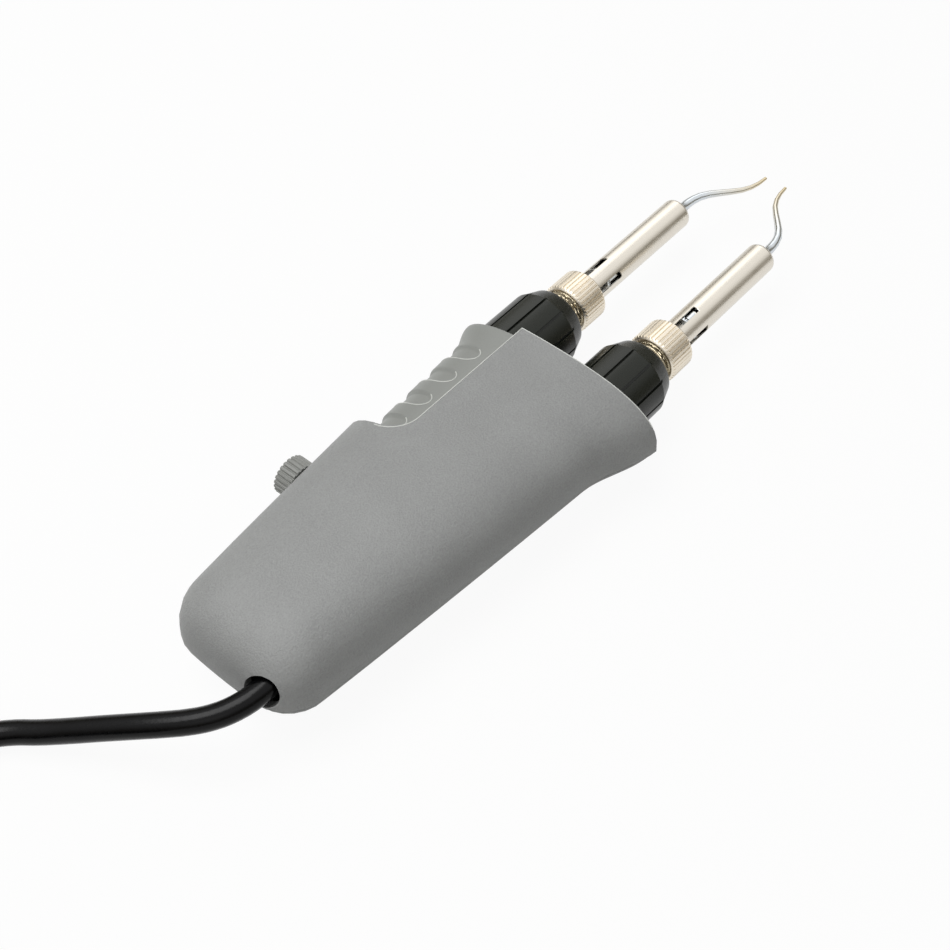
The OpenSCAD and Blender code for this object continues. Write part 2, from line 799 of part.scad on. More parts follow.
module tube(turn) {
    r = tube_d / 2;
    function corner(rad) = [for (i = [0 : round_steps])
        let (a = 90 * i / round_steps)
        [r - tube_round + rad * cos(a), tube_to - tube_round + rad * sin(a)]];
    difference() {
        rotate_extrude($fn = 48) polygon(concat(
            [[r - tube_wall, flange_from], [flange_d / 2, flange_from],
             [flange_d / 2, flange_to], [r, flange_to]],
            corner(tube_round),
            [[tube_mouth_d / 2, tube_to], [tube_mouth_d / 2, tube_to - tube_wall]],
            reversed(corner(tube_round - tube_wall))
        ));
        for (i = [0 : slot_count - 1]) rotate(turn + 360 * i / slot_count)
            translate([-slot_w / 2, 0, nut_to + slot_start])
                cube([slot_w, tube_d, slot_l]);
    }
}
module heater() {
    translate([0, 0, heater_from])
        cylinder(h = heater_to - heater_from, d = heater_d, $fn = 32);
}

// The tip's rod bends in towards the middle plane as it thins to its point
tip_inset = arm_y - (tip_gap + point_d) / 2;
tip_inset_shares = [0, 0, 0.025, 0.09, 0.22, 0.4, 0.6, 0.79, 0.91, 0.975, 1];
tip_run_shares = [0, 0.16, 0.24, 0.33, 0.42, 0.505, 0.595, 0.69, 0.785, 0.885, 1];
rod_sides = 12;
module tip() {
    inner_d = tube_d - 2 * tube_wall - 2 * fit;
    socket_to = tube_to - tube_wall - fit;
    difference() {
        union() {
            translate([0, 0, socket_from])
                cylinder(h = socket_to - socket_from, d = socket_d, $fn = 40);
            translate([0, 0, socket_from])
                cylinder(h = tube_round, d = inner_d, $fn = 40);
            skin([for (i = [0 : len(tip_run_shares) - 1])
                let (
                    s = tip_run_shares[i],
                    r = mix(tip_d, point_d, s) / 2,
                    z = i == 0 ? socket_to - over : tube_to + s * tip_out,
                    y = -tip_inset * tip_inset_shares[i],
                    j = min(len(tip_run_shares) - 1, i + 1),
                    k = max(0, i - 1),
                    dy = -tip_inset * (tip_inset_shares[j] - tip_inset_shares[k]),
                    dz = tip_out * (tip_run_shares[j] - tip_run_shares[k]),
                    t = unit([0, dy, dz]),
                    s2 = [0, t[2], -t[1]]
                )
                [for (n = [0 : rod_sides - 1])
                    let (a = 360 * n / rod_sides)
                    [0, y, z] + r * (cos(a) * [1, 0, 0] + sin(a) * s2)]]);
        }
        translate([0, 0, socket_from - over])
            cylinder(h = heater_to - socket_from + over + fit, d = heater_d + 2 * fit, $fn = 32);
    }
}

module fixed_collar() color([0.18, 0.19, 0.18]) arm_axis(-1) collar();
module moving_collar() color([0.18, 0.19, 0.18]) arm_axis(1) collar();
module fixed_nipple() color([0.76, 0.71, 0.62]) arm_axis(-1) nipple();
module moving_nipple() color([0.76, 0.71, 0.62]) arm_axis(1) nipple();
module fixed_nut() color([0.8, 0.75, 0.66]) arm_axis(-1) nut();
module moving_nut() color([0.8, 0.75, 0.66]) arm_axis(1) nut();
module fixed_tube() color([0.82, 0.8, 0.77]) arm_axis(-1) tube(fixed_slot_turn);
module moving_tube() color([0.82, 0.8, 0.77]) arm_axis(1) tube(moving_slot_turn);
module fixed_heater() color([0.9, 0.89, 0.86]) arm_axis(-1) heater();
module moving_heater() color([0.9, 0.89, 0.86]) arm_axis(1) heater();
module fixed_tip() color([0.86, 0.86, 0.86]) arm_axis(-1) tip();
module moving_tip() color([0.86, 0.86, 0.86]) arm_axis(1) tip();

module knob() color([0.5, 0.5, 0.49]) {
    translate([pot_x, knob_y, parting_z]) rotate([-90, 0, 0]) difference() {
        linear_extrude(knob_l) polygon(ribbed(knob_d / 2, knob_deep, knob_ribs));
        translate([0, 0, -over])
            cylinder(h = shaft_in_knob + over + fit, d = shaft_d + 2 * fit, $fn = 40);
    }
}
module pot_shaft() color([0.8, 0.8, 0.78]) {
    translate([pot_x, pot_front_y - shaft_in_pot, parting_z]) rotate([-90, 0, 0])
        cylinder(h = knob_y - pot_front_y + shaft_in_pot + shaft_in_knob, d = shaft_d, $fn = 40);
}
module pot_body() color([0.2, 0.3, 0.55]) {
    difference() {
        translate([pot_x - pot_w / 2, pot_front_y - pot_t, parting_z - pot_h / 2])
            cube([pot_w, pot_t, pot_h]);
        translate([pot_x, pot_front_y - shaft_in_pot - fit, parting_z]) rotate([-90, 0, 0])
            cylinder(h = pot_t, d = shaft_d + 2 * fit, $fn = 40);
    }
}

module circuit_board() color([0.12, 0.36, 0.2]) {
    difference() {
        translate([board_x, board_y, board_z]) cube([board_l, board_w, board_t]);
        for (p = post_places) translate([p[0], p[1], board_z - over])
            cylinder(h = board_t + 2 * over, d = board_screw_d + 2 * seat_gap, $fn = 16);
    }
}
module board_screws() color([0.75, 0.75, 0.73]) {
    for (p = post_places) translate([p[0], p[1], board_top])
        screw(board_screw_d, board_t + board_grip - fit, board_head_d, board_head_l);
}

// Parts on the board, placed from its rear corner
sink_at = [7.6, 10.5];
sink_t = 2;
sink_w = 12;
sink_h = 14;
fin_t = 1;
fin_l = 1.8;
fin_count = 4;
triac_t = 4.4;
triac_w = 10;
triac_h = 15;
triac_tab_h = 6;
triac_tab_t = 1.3;
triac_lift = 1.2;
triac_hole_d = 3.4;
triac_front = sink_at[0] + fin_l + sink_t + triac_t;
cap_gap = 1.8;
cap_end_gap = 6.4;
cap_y = 17.2;
cap_w = 6;
cap_h = 12;
cap_at = [triac_front + cap_gap, cap_y];
cap_l = board_l - cap_at[0] - cap_end_gap;
fuse_gap = 0.4;
fuse_end_gap = 3.8;
fuse_y = 12.4;
fuse_at = [triac_front + fuse_gap, fuse_y];
fuse_l = board_l - fuse_at[0] - fuse_end_gap;
fuse_d = 5.2;
fuse_cap_l = 5;
fuse_lift = 0.6;
fuse_clip_w = 4.4;
block_at = [6.6, 1];
block_size = [8, 7.5, 8];
block_pitch = 3.8;
block_hole_d = 2.4;
block_hole_deep = 3;
block_hole_up = 3;
block_screw_d = 2.6;
block_screw_deep = 2;

module on_board(at) {
    translate([board_x + at[0], board_y + at[1], board_top]) children();
}
module heat_sink() color([0.75, 0.76, 0.78]) on_board(sink_at) {
    translate([fin_l, 0, 0]) cube([sink_t, sink_w, sink_h]);
    for (i = [0 : fin_count - 1])
        translate([0, i * (sink_w - fin_t) / (fin_count - 1), 0])
            cube([fin_l + sink_t / 2, fin_t, sink_h]);
}
module triac() color([0.12, 0.12, 0.13]) on_board(sink_at) {
    translate([fin_l + sink_t, (sink_w - triac_w) / 2, 0]) {
        translate([0, 0, triac_lift])
            cube([triac_t, triac_w, triac_h - triac_tab_h - triac_lift]);
        difference() {
            cube([triac_tab_t, triac_w, triac_h]);
            translate([-over, triac_w / 2, triac_h - triac_tab_h / 2]) rotate([0, 90, 0])
                cylinder(h = triac_t, d = triac_hole_d, $fn = 20);
        }
    }
}
module film_capacitor() color([0.75, 0.62, 0.2]) on_board(cap_at) cube([cap_l, cap_w, cap_h]);
module fuse() color([0.85, 0.86, 0.85]) on_board(fuse_at) {
    translate([0, 0, fuse_d / 2 + fuse_lift]) rotate([0, 90, 0])
        cylinder(h = fuse_l, d = fuse_d, $fn = 24);
    for (x = [0, fuse_l - fuse_cap_l])
        translate([x, -fuse_clip_w / 2, 0]) cube([fuse_cap_l, fuse_clip_w, fuse_d / 2 + fuse_lift]);
}
module terminal_block() color([0.16, 0.42, 0.3]) on_board(block_at) {
    difference() {
        cube(block_size);
        for (i = [-1, 1]) translate([0, block_size[1] / 2 + i * block_pitch / 2, 0]) {
            translate([-over, 0, block_hole_up]) rotate([0, 90, 0])
                cylinder(h = block_hole_deep + over, d = block_hole_d, $fn = 20);
            translate([block_size[0] / 2, 0, block_size[2] - block_screw_deep])
                cylinder(h = block_screw_deep + over, d = block_screw_d, $fn = 20);
        }
    }
}

// Cord and wires
core_r = 0.8;
core_side = 1.3;
core_in_block = 2.4;
core_sides = 6;
wire_lead_r = 1.8;
wire_lead_sides = 8;
lead_in_sleeve = 25;
lead_turn = 3;
lead_over_board = 4.4;
fixed_lead_y = -5.2;
moving_lead_y = 4.7;
lead_end_z = board_top + wire_lead_r + seat_gap;
cord_end_x = tail_x + cord_end_in;
block_x = board_x + block_at[0];
block_mid_y = board_y + block_at[1] + block_size[1] / 2;

// Shares of the run and of the drop, from the cord's end to the terminal block
core_shares = [[0, 0], [0.257, 0.122], [0.514, 0.5], [0.743, 0.892], [1, 1]];
function core_way(i) = concat(
    [for (s = core_shares)
        [mix(cord_end_x, block_x, s[0]),
         mix(cord_y + i * core_side, block_mid_y + i * block_pitch / 2, s[0]),
         mix(cord_z, board_top + block_hole_up, s[1])]],
    [[block_x + core_in_block, block_mid_y + i * block_pitch / 2, board_top + block_hole_up]]
);

// Shares of the run, of the way across and of the drop, from an arm to the board
fixed_lead_shares = [[0, 0, 0], [0.19, 0.061, 0.026], [0.405, 0.307, 0.282],
    [0.622, 0.62, 0.641], [0.811, 0.888, 0.923], [1, 1, 1]];
moving_lead_shares = [[0, 0, 0], [0.135, 0.079, -0.385], [0.257, 0.333, -0.872],
    [0.405, 0.651, -1.026], [0.595, 0.884, -0.897], [0.757, 0.968, -0.256],
    [0.892, 1, 0.641], [1, 1, 1]];
function lead_way(shares, from_y, to_y) = concat(
    [for (x = [heater_from, -lead_turn]) [mouth_x + x, from_y, parting_z]],
    [for (s = shares)
        [mix(mouth_x - lead_in_sleeve, board_x + board_l - lead_over_board, s[0]),
         mix(from_y, to_y, s[1]), mix(parting_z, lead_end_z, s[2])]]
);
fixed_lead_route = lead_way(fixed_lead_shares, -arm_y, fixed_lead_y);
moving_lead_route = lead_way(moving_lead_shares, arm_y, moving_lead_y);

// The cord's way out of the tail: distance behind the tail, distance aside of the
// hole, and the share of the drop to the bench that is still to come
tie_t = 0.7;
tie_gap = 0.1;
turn_gap = 0.5;
coil_pitch = cord_d + turn_gap;
coil_layers = 4;
layer_low_z = tie_t + tie_gap + cord_r;
layer_top_z = layer_low_z + (coil_layers - 1) * coil_pitch;
cord_run = [[-4.6, 0, 1], [0.7, 0.5, 0.975], [5.7, 2, 0.924], [10.2, 4.6, 0.866],
    [14, 8.1, 0.804], [17.3, 12.1, 0.733], [20.4, 16.3, 0.651], [23.3, 20.5, 0.557],
    [26.1, 24.7, 0.454], [28.9, 28.9, 0.346], [31.6, 33.1, 0.236], [34.4, 37.3, 0.146],
    [37.2, 41.5, 0.08]];
run_last = cord_run[len(cord_run) - 1];
run_end = [tail_x - run_last[0], cord_y + run_last[1]];

// Then it turns towards the coil, outside the picture, and rises onto it
turn_r = 26;
turn_from_a = 126.87;
turn_to_a = 185;
turn_drops = [0.035, 0.01, 0, 0, 0];
rise_l = 68;
rise_flat = 8;
rise_steps = 6;
function level(share) = mix(layer_low_z, cord_z, share);
turn_mid = run_end - turn_r * [sin(turn_from_a), -cos(turn_from_a)];
turn_way = [for (i = [1 : len(turn_drops)])
    let (a = mix(turn_from_a, turn_to_a, i / len(turn_drops)))
    [turn_mid[0] + turn_r * sin(a), turn_mid[1] - turn_r * cos(a), level(turn_drops[i - 1])]];
turn_end = turn_way[len(turn_way) - 1];
rise_way = [for (i = [1 : rise_steps])
    let (
        l = rise_l * i / rise_steps,
        up = smooth((l - rise_flat) / (rise_l - rise_flat))
    )
    [turn_end[0] + l * cos(turn_to_a), turn_end[1] + l * sin(turn_to_a),
     mix(layer_low_z, layer_top_z, up)]];
cord_route = concat(
    [for (q = cord_run) [tail_x - q[0], cord_y + q[1], level(q[2])]],
    turn_way,
    rise_way
);
cord_start = cord_route[0];
coil_at = cord_route[len(cord_route) - 1];
coil_entry = [cos(turn_to_a), sin(turn_to_a), 0];

module mains_cores() color([0.35, 0.22, 0.12]) {
    for (i = [-1, 1])
        swept(core_way(i), even_radii(core_way(i), core_r), core_sides, [1, 0, 0], [1, 0, 0]);
}
module cord_inner() color([0.06, 0.06, 0.06]) {
    translate([cord_start[0], cord_y, cord_z]) rotate([0, 90, 0])
        cylinder(h = cord_end_x - cord_start[0], d = cord_d, $fn = 24);
}
module cord_clip() color([0.2, 0.2, 0.2]) {
    out_w = cord_d + 2 * clip_t;
    base_t = cord_up - cord_r;
    translate([clip_x - clip_l / 2, 0, 0]) difference() {
        union() {
            translate([0, cord_y - out_w / 2, parting_z])
                cube([clip_l, out_w, cord_up]);
            translate([0, cord_y, cord_z]) rotate([0, 90, 0])
                cylinder(h = clip_l, d = out_w, $fn = 32);
            translate([0, cord_y, parting_z])
                cube([clip_l, out_w / 2 + clip_ear - clip_t, base_t]);
        }
        translate([-over, cord_y, cord_z]) rotate([0, 90, 0])
            cylinder(h = clip_l + 2 * over, d = cord_d + 2 * fit, $fn = 32);
        translate([clip_l / 2, clip_screw_y, parting_z - over])
            cylinder(h = cord_up, d = clip_screw_d + 2 * seat_gap, $fn = 16);
    }
}
module clip_screw() color([0.75, 0.75, 0.73]) {
    base_t = cord_up - cord_r;
    translate([clip_x, clip_screw_y, parting_z + base_t])
        screw(clip_screw_d, base_t + clip_grip - fit, clip_head_d, clip_head_l);
}
module fixed_leads() color([0.7, 0.1, 0.08]) {
    swept(fixed_lead_route, even_radii(fixed_lead_route, wire_lead_r), wire_lead_sides,
        [-1, 0, 0], [-1, 0, 0]);
}
module moving_leads() color([0.7, 0.1, 0.08]) {
    swept(moving_lead_route, even_radii(moving_lead_route, wire_lead_r), wire_lead_sides,
        [-1, 0, 0], [-1, 0, 0]);
}
lead_sides = 10;
module cord_lead() color([0.06, 0.06, 0.06]) {
    swept(cord_route, even_radii(cord_route, cord_r), lead_sides, [-1, 0, 0], coil_entry);
}

// The stored coil lies just outside the picture. From the top layer down, it winds
// in, steps down half a turn, winds out, and steps down again.
loop_rings = 24;
tube_sides = 6;
tie_w = 4;
coil_dip = 1.1;
climb_turns = 0.5;
layer_turns = coil_turns + climb_turns;
total_turns = coil_layers * layer_turns - climb_turns;
coil_out_r = coil_in_r + coil_pitch * coil_turns;
coil_a = turn_to_a - 90;
coil_mid = [coil_at[0] - coil_out_r * cos(coil_a), coil_at[1] - coil_out_r * sin(coil_a)];
function coil_point(t) =
    let (
        layer = min(floor(t / layer_turns), coil_layers - 1),
        u = t - layer * layer_turns,
        c = clamp01((u - coil_turns) / climb_turns),
        run = coil_pitch * min(u, coil_turns) + coil_dip * sin(180 * c),
        r = layer % 2 == 0 ? coil_out_r - run : coil_in_r + run,
        a = coil_a + 360 * t
    )
    [coil_mid[0] + r * cos(a), coil_mid[1] + r * sin(a),
     layer_top_z - coil_pitch * (layer + smooth(c))];
coil_rings = total_turns * loop_rings;
coil_exit_a = coil_a + 360 * total_turns + 90;
coil_exit = [cos(coil_exit_a), sin(coil_exit_a), 0];
coil_path = [for (i = [0 : coil_rings]) coil_point(i / loop_rings)];
coil_end = coil_path[len(coil_path) - 1];
near_rings = 18;
least_gap = min([for (i = [0 : len(coil_path) - near_rings - 1])
    for (j = [i + near_rings : len(coil_path) - 1]) norm(coil_path[i] - coil_path[j])]) - cord_d;
echo(least_gap_of_coil_mm = least_gap);
module cord_coil() color([0.06, 0.06, 0.06]) {
    swept(coil_path, even_radii(coil_path, cord_r), tube_sides, coil_entry, coil_exit);
}

// The cord bends away from the coil as it comes up to the plug's height
tail_l = 28;
tail_turn = 18;
tail_steps = 8;
plug_z = 7.9;
plug_a = coil_exit_a + tail_turn;
plug_way = [cos(plug_a), sin(plug_a), 0];
tail_path = [for (i = [0 : tail_steps])
    let (
        s = i / tail_steps,
        a = coil_exit_a + tail_turn * s,
        r = tail_l / (tail_turn * PI / 180)
    )
    coil_end + r * [sin(a) - sin(coil_exit_a), cos(coil_exit_a) - cos(a), 0] +
        [0, 0, smooth(s) * (plug_z - coil_end[2])]];
plug_at = tail_path[tail_steps];
module cord_tail() color([0.06, 0.06, 0.06]) {
    swept(tail_path, even_radii(tail_path, cord_r), lead_sides, coil_exit, plug_way);
}

// Two bands round the bundle, each as wide as the turns that it holds
tie_rings = [9, 17];
function radii_at(k) = [for (i = [k : loop_rings : len(coil_path) - 1])
    norm([coil_path[i][0] - coil_mid[0], coil_path[i][1] - coil_mid[1]])];
module cord_ties() color([0.1, 0.1, 0.1]) {
    h = layer_top_z + cord_r + tie_gap + tie_t;
    for (k = tie_rings) {
        from = min(radii_at(k)) - cord_r - tie_gap - hole_gap - tie_t;
        to = max(radii_at(k)) + cord_r + tie_gap + hole_gap + tie_t;
        translate([coil_mid[0], coil_mid[1], 0]) rotate(coil_a + 360 * k / loop_rings)
            difference() {
                translate([from, -tie_w / 2, 0]) cube([to - from, tie_w, h]);
                translate([from + tie_t, -tie_w, tie_t])
                    cube([to - from - 2 * tie_t, 2 * tie_w, h - 2 * tie_t]);
            }
    }
}

// Two-pin mains plug with a ribbed strain relief
relief_l = 20;
relief_d = 8.4;
relief_end_d = 11;
relief_ribs = 5;
relief_cut = 0.8;
plug_l = 35;
plug_w = 33;
plug_t = 15.6;
plug_rear_w = 16;
plug_rear_t = 13;
plug_r = 4;
pin_spread = 18.6;
plug_pin_d = 4;
plug_pin_l = 19;
plug_pin_in = 8;
module plug_frame() {
    translate(plug_at) rotate(plug_a) rotate([0, 90, 0]) children();
}
module plug_block(from, l, w, t) {
    for (x = [-1, 1]) for (y = [-1, 1])
        translate([x * (t / 2 - plug_r), y * (w / 2 - plug_r), from])
            cylinder(h = l, r = plug_r, $fn = 32);
}
module plug_body() color([0.06, 0.06, 0.06]) plug_frame() {
    step = relief_l / (2 * relief_ribs);
    difference() {
        union() {
            rotate_extrude($fn = 32) polygon(concat(
                [[0, 0]],
                [for (i = [0 : 2 * relief_ribs - 1]) for (e = [0, 1])
                    [mix(relief_d, relief_end_d, (i + e) / (2 * relief_ribs)) / 2 -
                        (i % 2 == 1 ? relief_cut : 0), (i + e) * step]],
                [[0, relief_l]]
            ));
            hull() {
                plug_block(relief_l, plug_r, plug_rear_w, plug_rear_t);
                plug_block(relief_l + plug_l / 2, plug_l / 2, plug_w, plug_t);
            }
        }
        for (y = [-1, 1]) translate([0, y * pin_spread / 2, relief_l + plug_l - plug_pin_in - fit])
            cylinder(h = plug_pin_in + over, d = plug_pin_d + 2 * fit, $fn = 32);
    }
}
module plug_pins() color([0.8, 0.78, 0.72]) plug_frame() {
    for (y = [-1, 1]) translate([0, y * pin_spread / 2, relief_l + plug_l - plug_pin_in]) {
        cylinder(h = plug_pin_in + plug_pin_l - plug_pin_d / 2, d = plug_pin_d, $fn = 32);
        translate([0, 0, plug_pin_in + plug_pin_l - plug_pin_d / 2])
            sphere(d = plug_pin_d, $fn = 32);
    }
}

top_shell();
bottom_shell();
housing_screws();
lever();
pivot_pin();
return_spring();
fixed_collar();
fixed_nipple();
fixed_nut();
fixed_tube();
fixed_heater();
fixed_tip();
moving_collar();
moving_nipple();
moving_nut();
moving_tube();
moving_heater();
moving_tip();
knob();
pot_shaft();
pot_body();
circuit_board();
board_screws();
triac();
heat_sink();
film_capacitor();
fuse();
terminal_block();
mains_cores();
cord_inner();
cord_clip();
clip_screw();
fixed_leads();
moving_leads();
cord_lead();
cord_coil();
cord_tail();
cord_ties();
plug_body();
plug_pins();
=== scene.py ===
# %% [markdown]
# # Hot tweezers
# This lesson dresses a finished CAD model for a picture. The CAD gives every part its
# size and place, and stays as it is. We add the camera, the cord, finer pieces where the
# eye wants them, and a finish for every surface.

import bpy
import math
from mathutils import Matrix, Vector


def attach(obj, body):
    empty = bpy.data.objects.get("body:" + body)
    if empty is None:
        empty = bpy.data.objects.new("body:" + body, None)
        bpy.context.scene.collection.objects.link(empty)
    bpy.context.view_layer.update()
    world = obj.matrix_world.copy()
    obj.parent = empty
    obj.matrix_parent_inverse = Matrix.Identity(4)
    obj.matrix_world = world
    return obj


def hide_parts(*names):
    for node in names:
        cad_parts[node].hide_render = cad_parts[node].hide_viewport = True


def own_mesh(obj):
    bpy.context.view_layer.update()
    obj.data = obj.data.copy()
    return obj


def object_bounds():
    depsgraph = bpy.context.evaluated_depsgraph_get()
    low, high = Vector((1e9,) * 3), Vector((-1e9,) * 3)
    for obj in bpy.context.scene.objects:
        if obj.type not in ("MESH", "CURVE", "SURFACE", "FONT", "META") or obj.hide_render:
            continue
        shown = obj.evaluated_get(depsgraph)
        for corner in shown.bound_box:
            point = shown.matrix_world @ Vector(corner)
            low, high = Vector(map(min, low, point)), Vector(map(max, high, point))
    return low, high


MM = 0.001

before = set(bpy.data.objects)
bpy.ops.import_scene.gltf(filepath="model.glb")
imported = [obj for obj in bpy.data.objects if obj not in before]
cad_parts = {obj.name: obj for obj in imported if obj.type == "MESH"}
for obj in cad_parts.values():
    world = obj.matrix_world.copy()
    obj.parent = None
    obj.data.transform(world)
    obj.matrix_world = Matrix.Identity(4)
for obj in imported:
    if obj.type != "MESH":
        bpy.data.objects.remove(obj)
bounds_at_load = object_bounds()
print("CAD nodes:", len(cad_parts), "box:", bounds_at_load)

# %% [markdown]
# ## Camera
# A product photograph is taken from far away with a long lens, so the near end of the
# tool isn't much larger than the far end. The place and lens were worked out from the
# photograph: the tool's straight edges and its known spacings fix them. The Standard view
# leaves white paper white, where a filmic one would grey it.

# %% Camera
CAMERA_AT = Vector((-163.2, -161.6, 310.6)) * MM
CAMERA_WAY = Vector((0.4841, 0.4105, -0.7727))
LENS_MM = 59.7
SENSOR_MM = 36
NEAREST = 0.01

bpy.ops.object.select_all(action="DESELECT")
bpy.ops.object.camera_add(location=CAMERA_AT)
camera = bpy.context.object
camera.rotation_euler = CAMERA_WAY.to_track_quat("-Z", "Y").to_euler()
camera.data.lens = LENS_MM
camera.data.sensor_width = SENSOR_MM
camera.data.clip_start = NEAREST
bpy.context.scene.camera = camera
bpy.context.scene.view_settings.view_transform = "Standard"
print("camera stands", round(CAMERA_AT.length / MM), "mm from the origin")

# %% [markdown]
# ## Cord
# The cord is a round mains lead, 5.8 mm thick and about 1.5 m long. It bends out of the
# tail, sinks to the bench, and runs out of the picture. What the picture doesn't show is
# put away as a cord is stored: a neat coil of four layers with its plug beside it. This
# first part gives the points of its way to the coil.

# %% The cord's way to the coil
CORD_D = 5.8
TAIL_X = -56.6
CORD_HOLE_Y = -10.8
CORD_HOLE_Z = 19.1
BENCH_Z = 3.7
COIL_PITCH = 6.3
COIL_LAYERS = 4
COIL_TOP_Z = BENCH_Z + (COIL_LAYERS - 1) * COIL_PITCH
# Distance behind the tail, distance aside of the hole, share of the drop still to come
CORD_RUN = [
    (-4.6, 0, 1), (0.7, 0.5, 0.975), (5.7, 2, 0.924), (10.2, 4.6, 0.866), (14, 8.1, 0.804),
    (17.3, 12.1, 0.733), (20.4, 16.3, 0.651), (23.3, 20.5, 0.557), (26.1, 24.7, 0.454),
    (28.9, 28.9, 0.346), (31.6, 33.1, 0.236), (34.4, 37.3, 0.146), (37.2, 41.5, 0.08),
]
TURN_R = 26
TURN_FROM = math.radians(126.87)
TURN_TO = math.radians(185)
TURN_DROPS = (0.035, 0.01, 0, 0, 0)
RISE_L = 68
RISE_FLAT = 8
RISE_STEPS = 6


def mix(a, b, t):
    return a + (b - a) * t


def smooth(t):
    t = min(1, max(0, t))
    return t * t * (3 - 2 * t)


cord_way = [
    Vector((TAIL_X - back, CORD_HOLE_Y + aside, mix(BENCH_Z, CORD_HOLE_Z, share)))
    for back, aside, share in CORD_RUN
]
turn_mid = cord_way[-1] - TURN_R * Vector((math.sin(TURN_FROM), -math.cos(TURN_FROM), 0))
for i, share in enumerate(TURN_DROPS):
    a = mix(TURN_FROM, TURN_TO, (i + 1) / len(TURN_DROPS))
    place = turn_mid + TURN_R * Vector((math.sin(a), -math.cos(a), 0))
    place.z = mix(BENCH_Z, CORD_HOLE_Z, share)
    cord_way.append(place)
turn_end = cord_way[-1]
for i in range(1, RISE_STEPS + 1):
    along = RISE_L * i / RISE_STEPS
    place = turn_end + along * Vector((math.cos(TURN_TO), math.sin(TURN_TO), 0))
    place.z = mix(BENCH_Z, COIL_TOP_Z, smooth((along - RISE_FLAT) / (RISE_L - RISE_FLAT)))
    cord_way.append(place)
print("the cord reaches the coil after", len(cord_way), "points")

# %% [markdown]
# ## Coil
# A cord winds into a coil ring by ring. Each layer here goes in or out by one thickness
# for each turn, and then steps down to the layer below. The wraps touch without cutting
# into each other, and the end leaves the lowest layer for the plug.

# %% The coil, and the end that goes to the plug
COIL_TURNS = 1.375
COIL_INNER_R = 25
COIL_DIP = 1.1
STEP_TURNS = 0.5
RINGS_PER_TURN = 24
PLUG_RUN = 28
PLUG_TURN = math.radians(18)
PLUG_STEPS = 8
PLUG_Z = 7.9

coil_outer_r = COIL_INNER_R + COIL_PITCH * COIL_TURNS
coil_from = TURN_TO - math.pi / 2
outwards = Vector((math.cos(coil_from), math.sin(coil_from), 0))
coil_mid = cord_way[-1] - coil_outer_r * outwards
coil_mid.z = 0
layer_turns = COIL_TURNS + STEP_TURNS
all_turns = COIL_LAYERS * layer_turns - STEP_TURNS


def coil_point(turn):
    """A point on the coil, wound in and out by turns from its top layer down."""
    layer = min(int(turn / layer_turns), COIL_LAYERS - 1)
    on_layer = turn - layer * layer_turns
    step = min(1, max(0, (on_layer - COIL_TURNS) / STEP_TURNS))
    run = COIL_PITCH * min(on_layer, COIL_TURNS) + COIL_DIP * math.sin(math.pi * step)
    r = coil_outer_r - run if layer % 2 == 0 else COIL_INNER_R + run
    a = coil_from + math.tau * turn
    z = COIL_TOP_Z - COIL_PITCH * (layer + smooth(step))
    return coil_mid + Vector((r * math.cos(a), r * math.sin(a), z))


rings = round(all_turns * RINGS_PER_TURN)
cord_way += [coil_point(i / RINGS_PER_TURN) for i in range(1, rings + 1)]
coil_end = cord_way[-1]
coil_to = coil_from + math.tau * all_turns + math.pi / 2
for i in range(1, PLUG_STEPS + 1):
    a = coil_to + PLUG_TURN * i / PLUG_STEPS
    bend = PLUG_RUN / PLUG_TURN
    aside = Vector((math.sin(a) - math.sin(coil_to), math.cos(coil_to) - math.cos(a), 0))
    up = Vector((0, 0, smooth(i / PLUG_STEPS) * (PLUG_Z - coil_end.z)))
    cord_way.append(coil_end + bend * aside + up)

# %% [markdown]
# ## The cord's tube
# A sheath is extruded, so it is round and equally thick everywhere. A smooth curve
# through the points with a round bevel does the same in every bend. It is made a mesh at
# once, so that its size can be measured like any other piece's.

# %% The cord as a curve
TUBE_ROUND = 5
TUBE_STEPS = 3

bpy.ops.curve.primitive_bezier_curve_add()
cord = bpy.context.object
cord.name = "mains_cord"
cord.data.splines.clear()
line = cord.data.splines.new("BEZIER")
line.bezier_points.add(len(cord_way) - 1)
for point, place in zip(line.bezier_points, cord_way):
    point.co = place * MM
    point.handle_left_type = point.handle_right_type = "AUTO"
cord.data.dimensions = "3D"
cord.data.bevel_depth = CORD_D / 2 * MM
cord.data.bevel_resolution = TUBE_ROUND
cord.data.resolution_u = TUBE_STEPS
cord.data.use_fill_caps = True
bpy.ops.object.convert(target="MESH")
cord = bpy.context.object
bpy.ops.object.shade_smooth()
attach(cord, "housing_body")
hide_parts("cord_lead", "cord_coil", "cord_tail")
print("cord tube has", len(cord.data.polygons), "faces")

# %% [markdown]
# ## Colour and nodes
# Colours are chosen as the eye sees them, as sRGB hex values, but a shader counts in
# linear light. One function turns the one into the other. A second adds a node with its
# settings and links in one line, which keeps each finish short enough to read.

# %% Colour and node helpers
def hex_colour(code):
    """An sRGB hex value as the linear colour that a shader wants."""
    parts = [int(code[i:i + 2], 16) / 255 for i in (0, 2, 4)]
    linear = [p / 12.92 if p <= 0.04045 else ((p + 0.055) / 1.055) ** 2.4 for p in parts]
    return linear + [1]


def add_node(tree, kind, settings=None, links=None):
    """A node with its settings, and each input linked or set to a value."""
    node = tree.nodes.new(kind)
    for name, value in (settings or {}).items():
        setattr(node, name, value)
    for name, value in (links or {}).items():
        if isinstance(value, bpy.types.NodeSocket):
            tree.links.new(value, node.inputs[name])
        else:
            node.inputs[name].default_value = value
    return node


print("mid grey is", [round(c, 3) for c in hex_colour("969894")])

# %% [markdown]
# ## Room
# A product shot on white is lit softly from all sides, so the world's light on the tool
# is even, and the camera sees plain white. Metal shows what stands round it. Its rays see
# a pale top and a greyer edge of the room, which gives a round tube its bands.

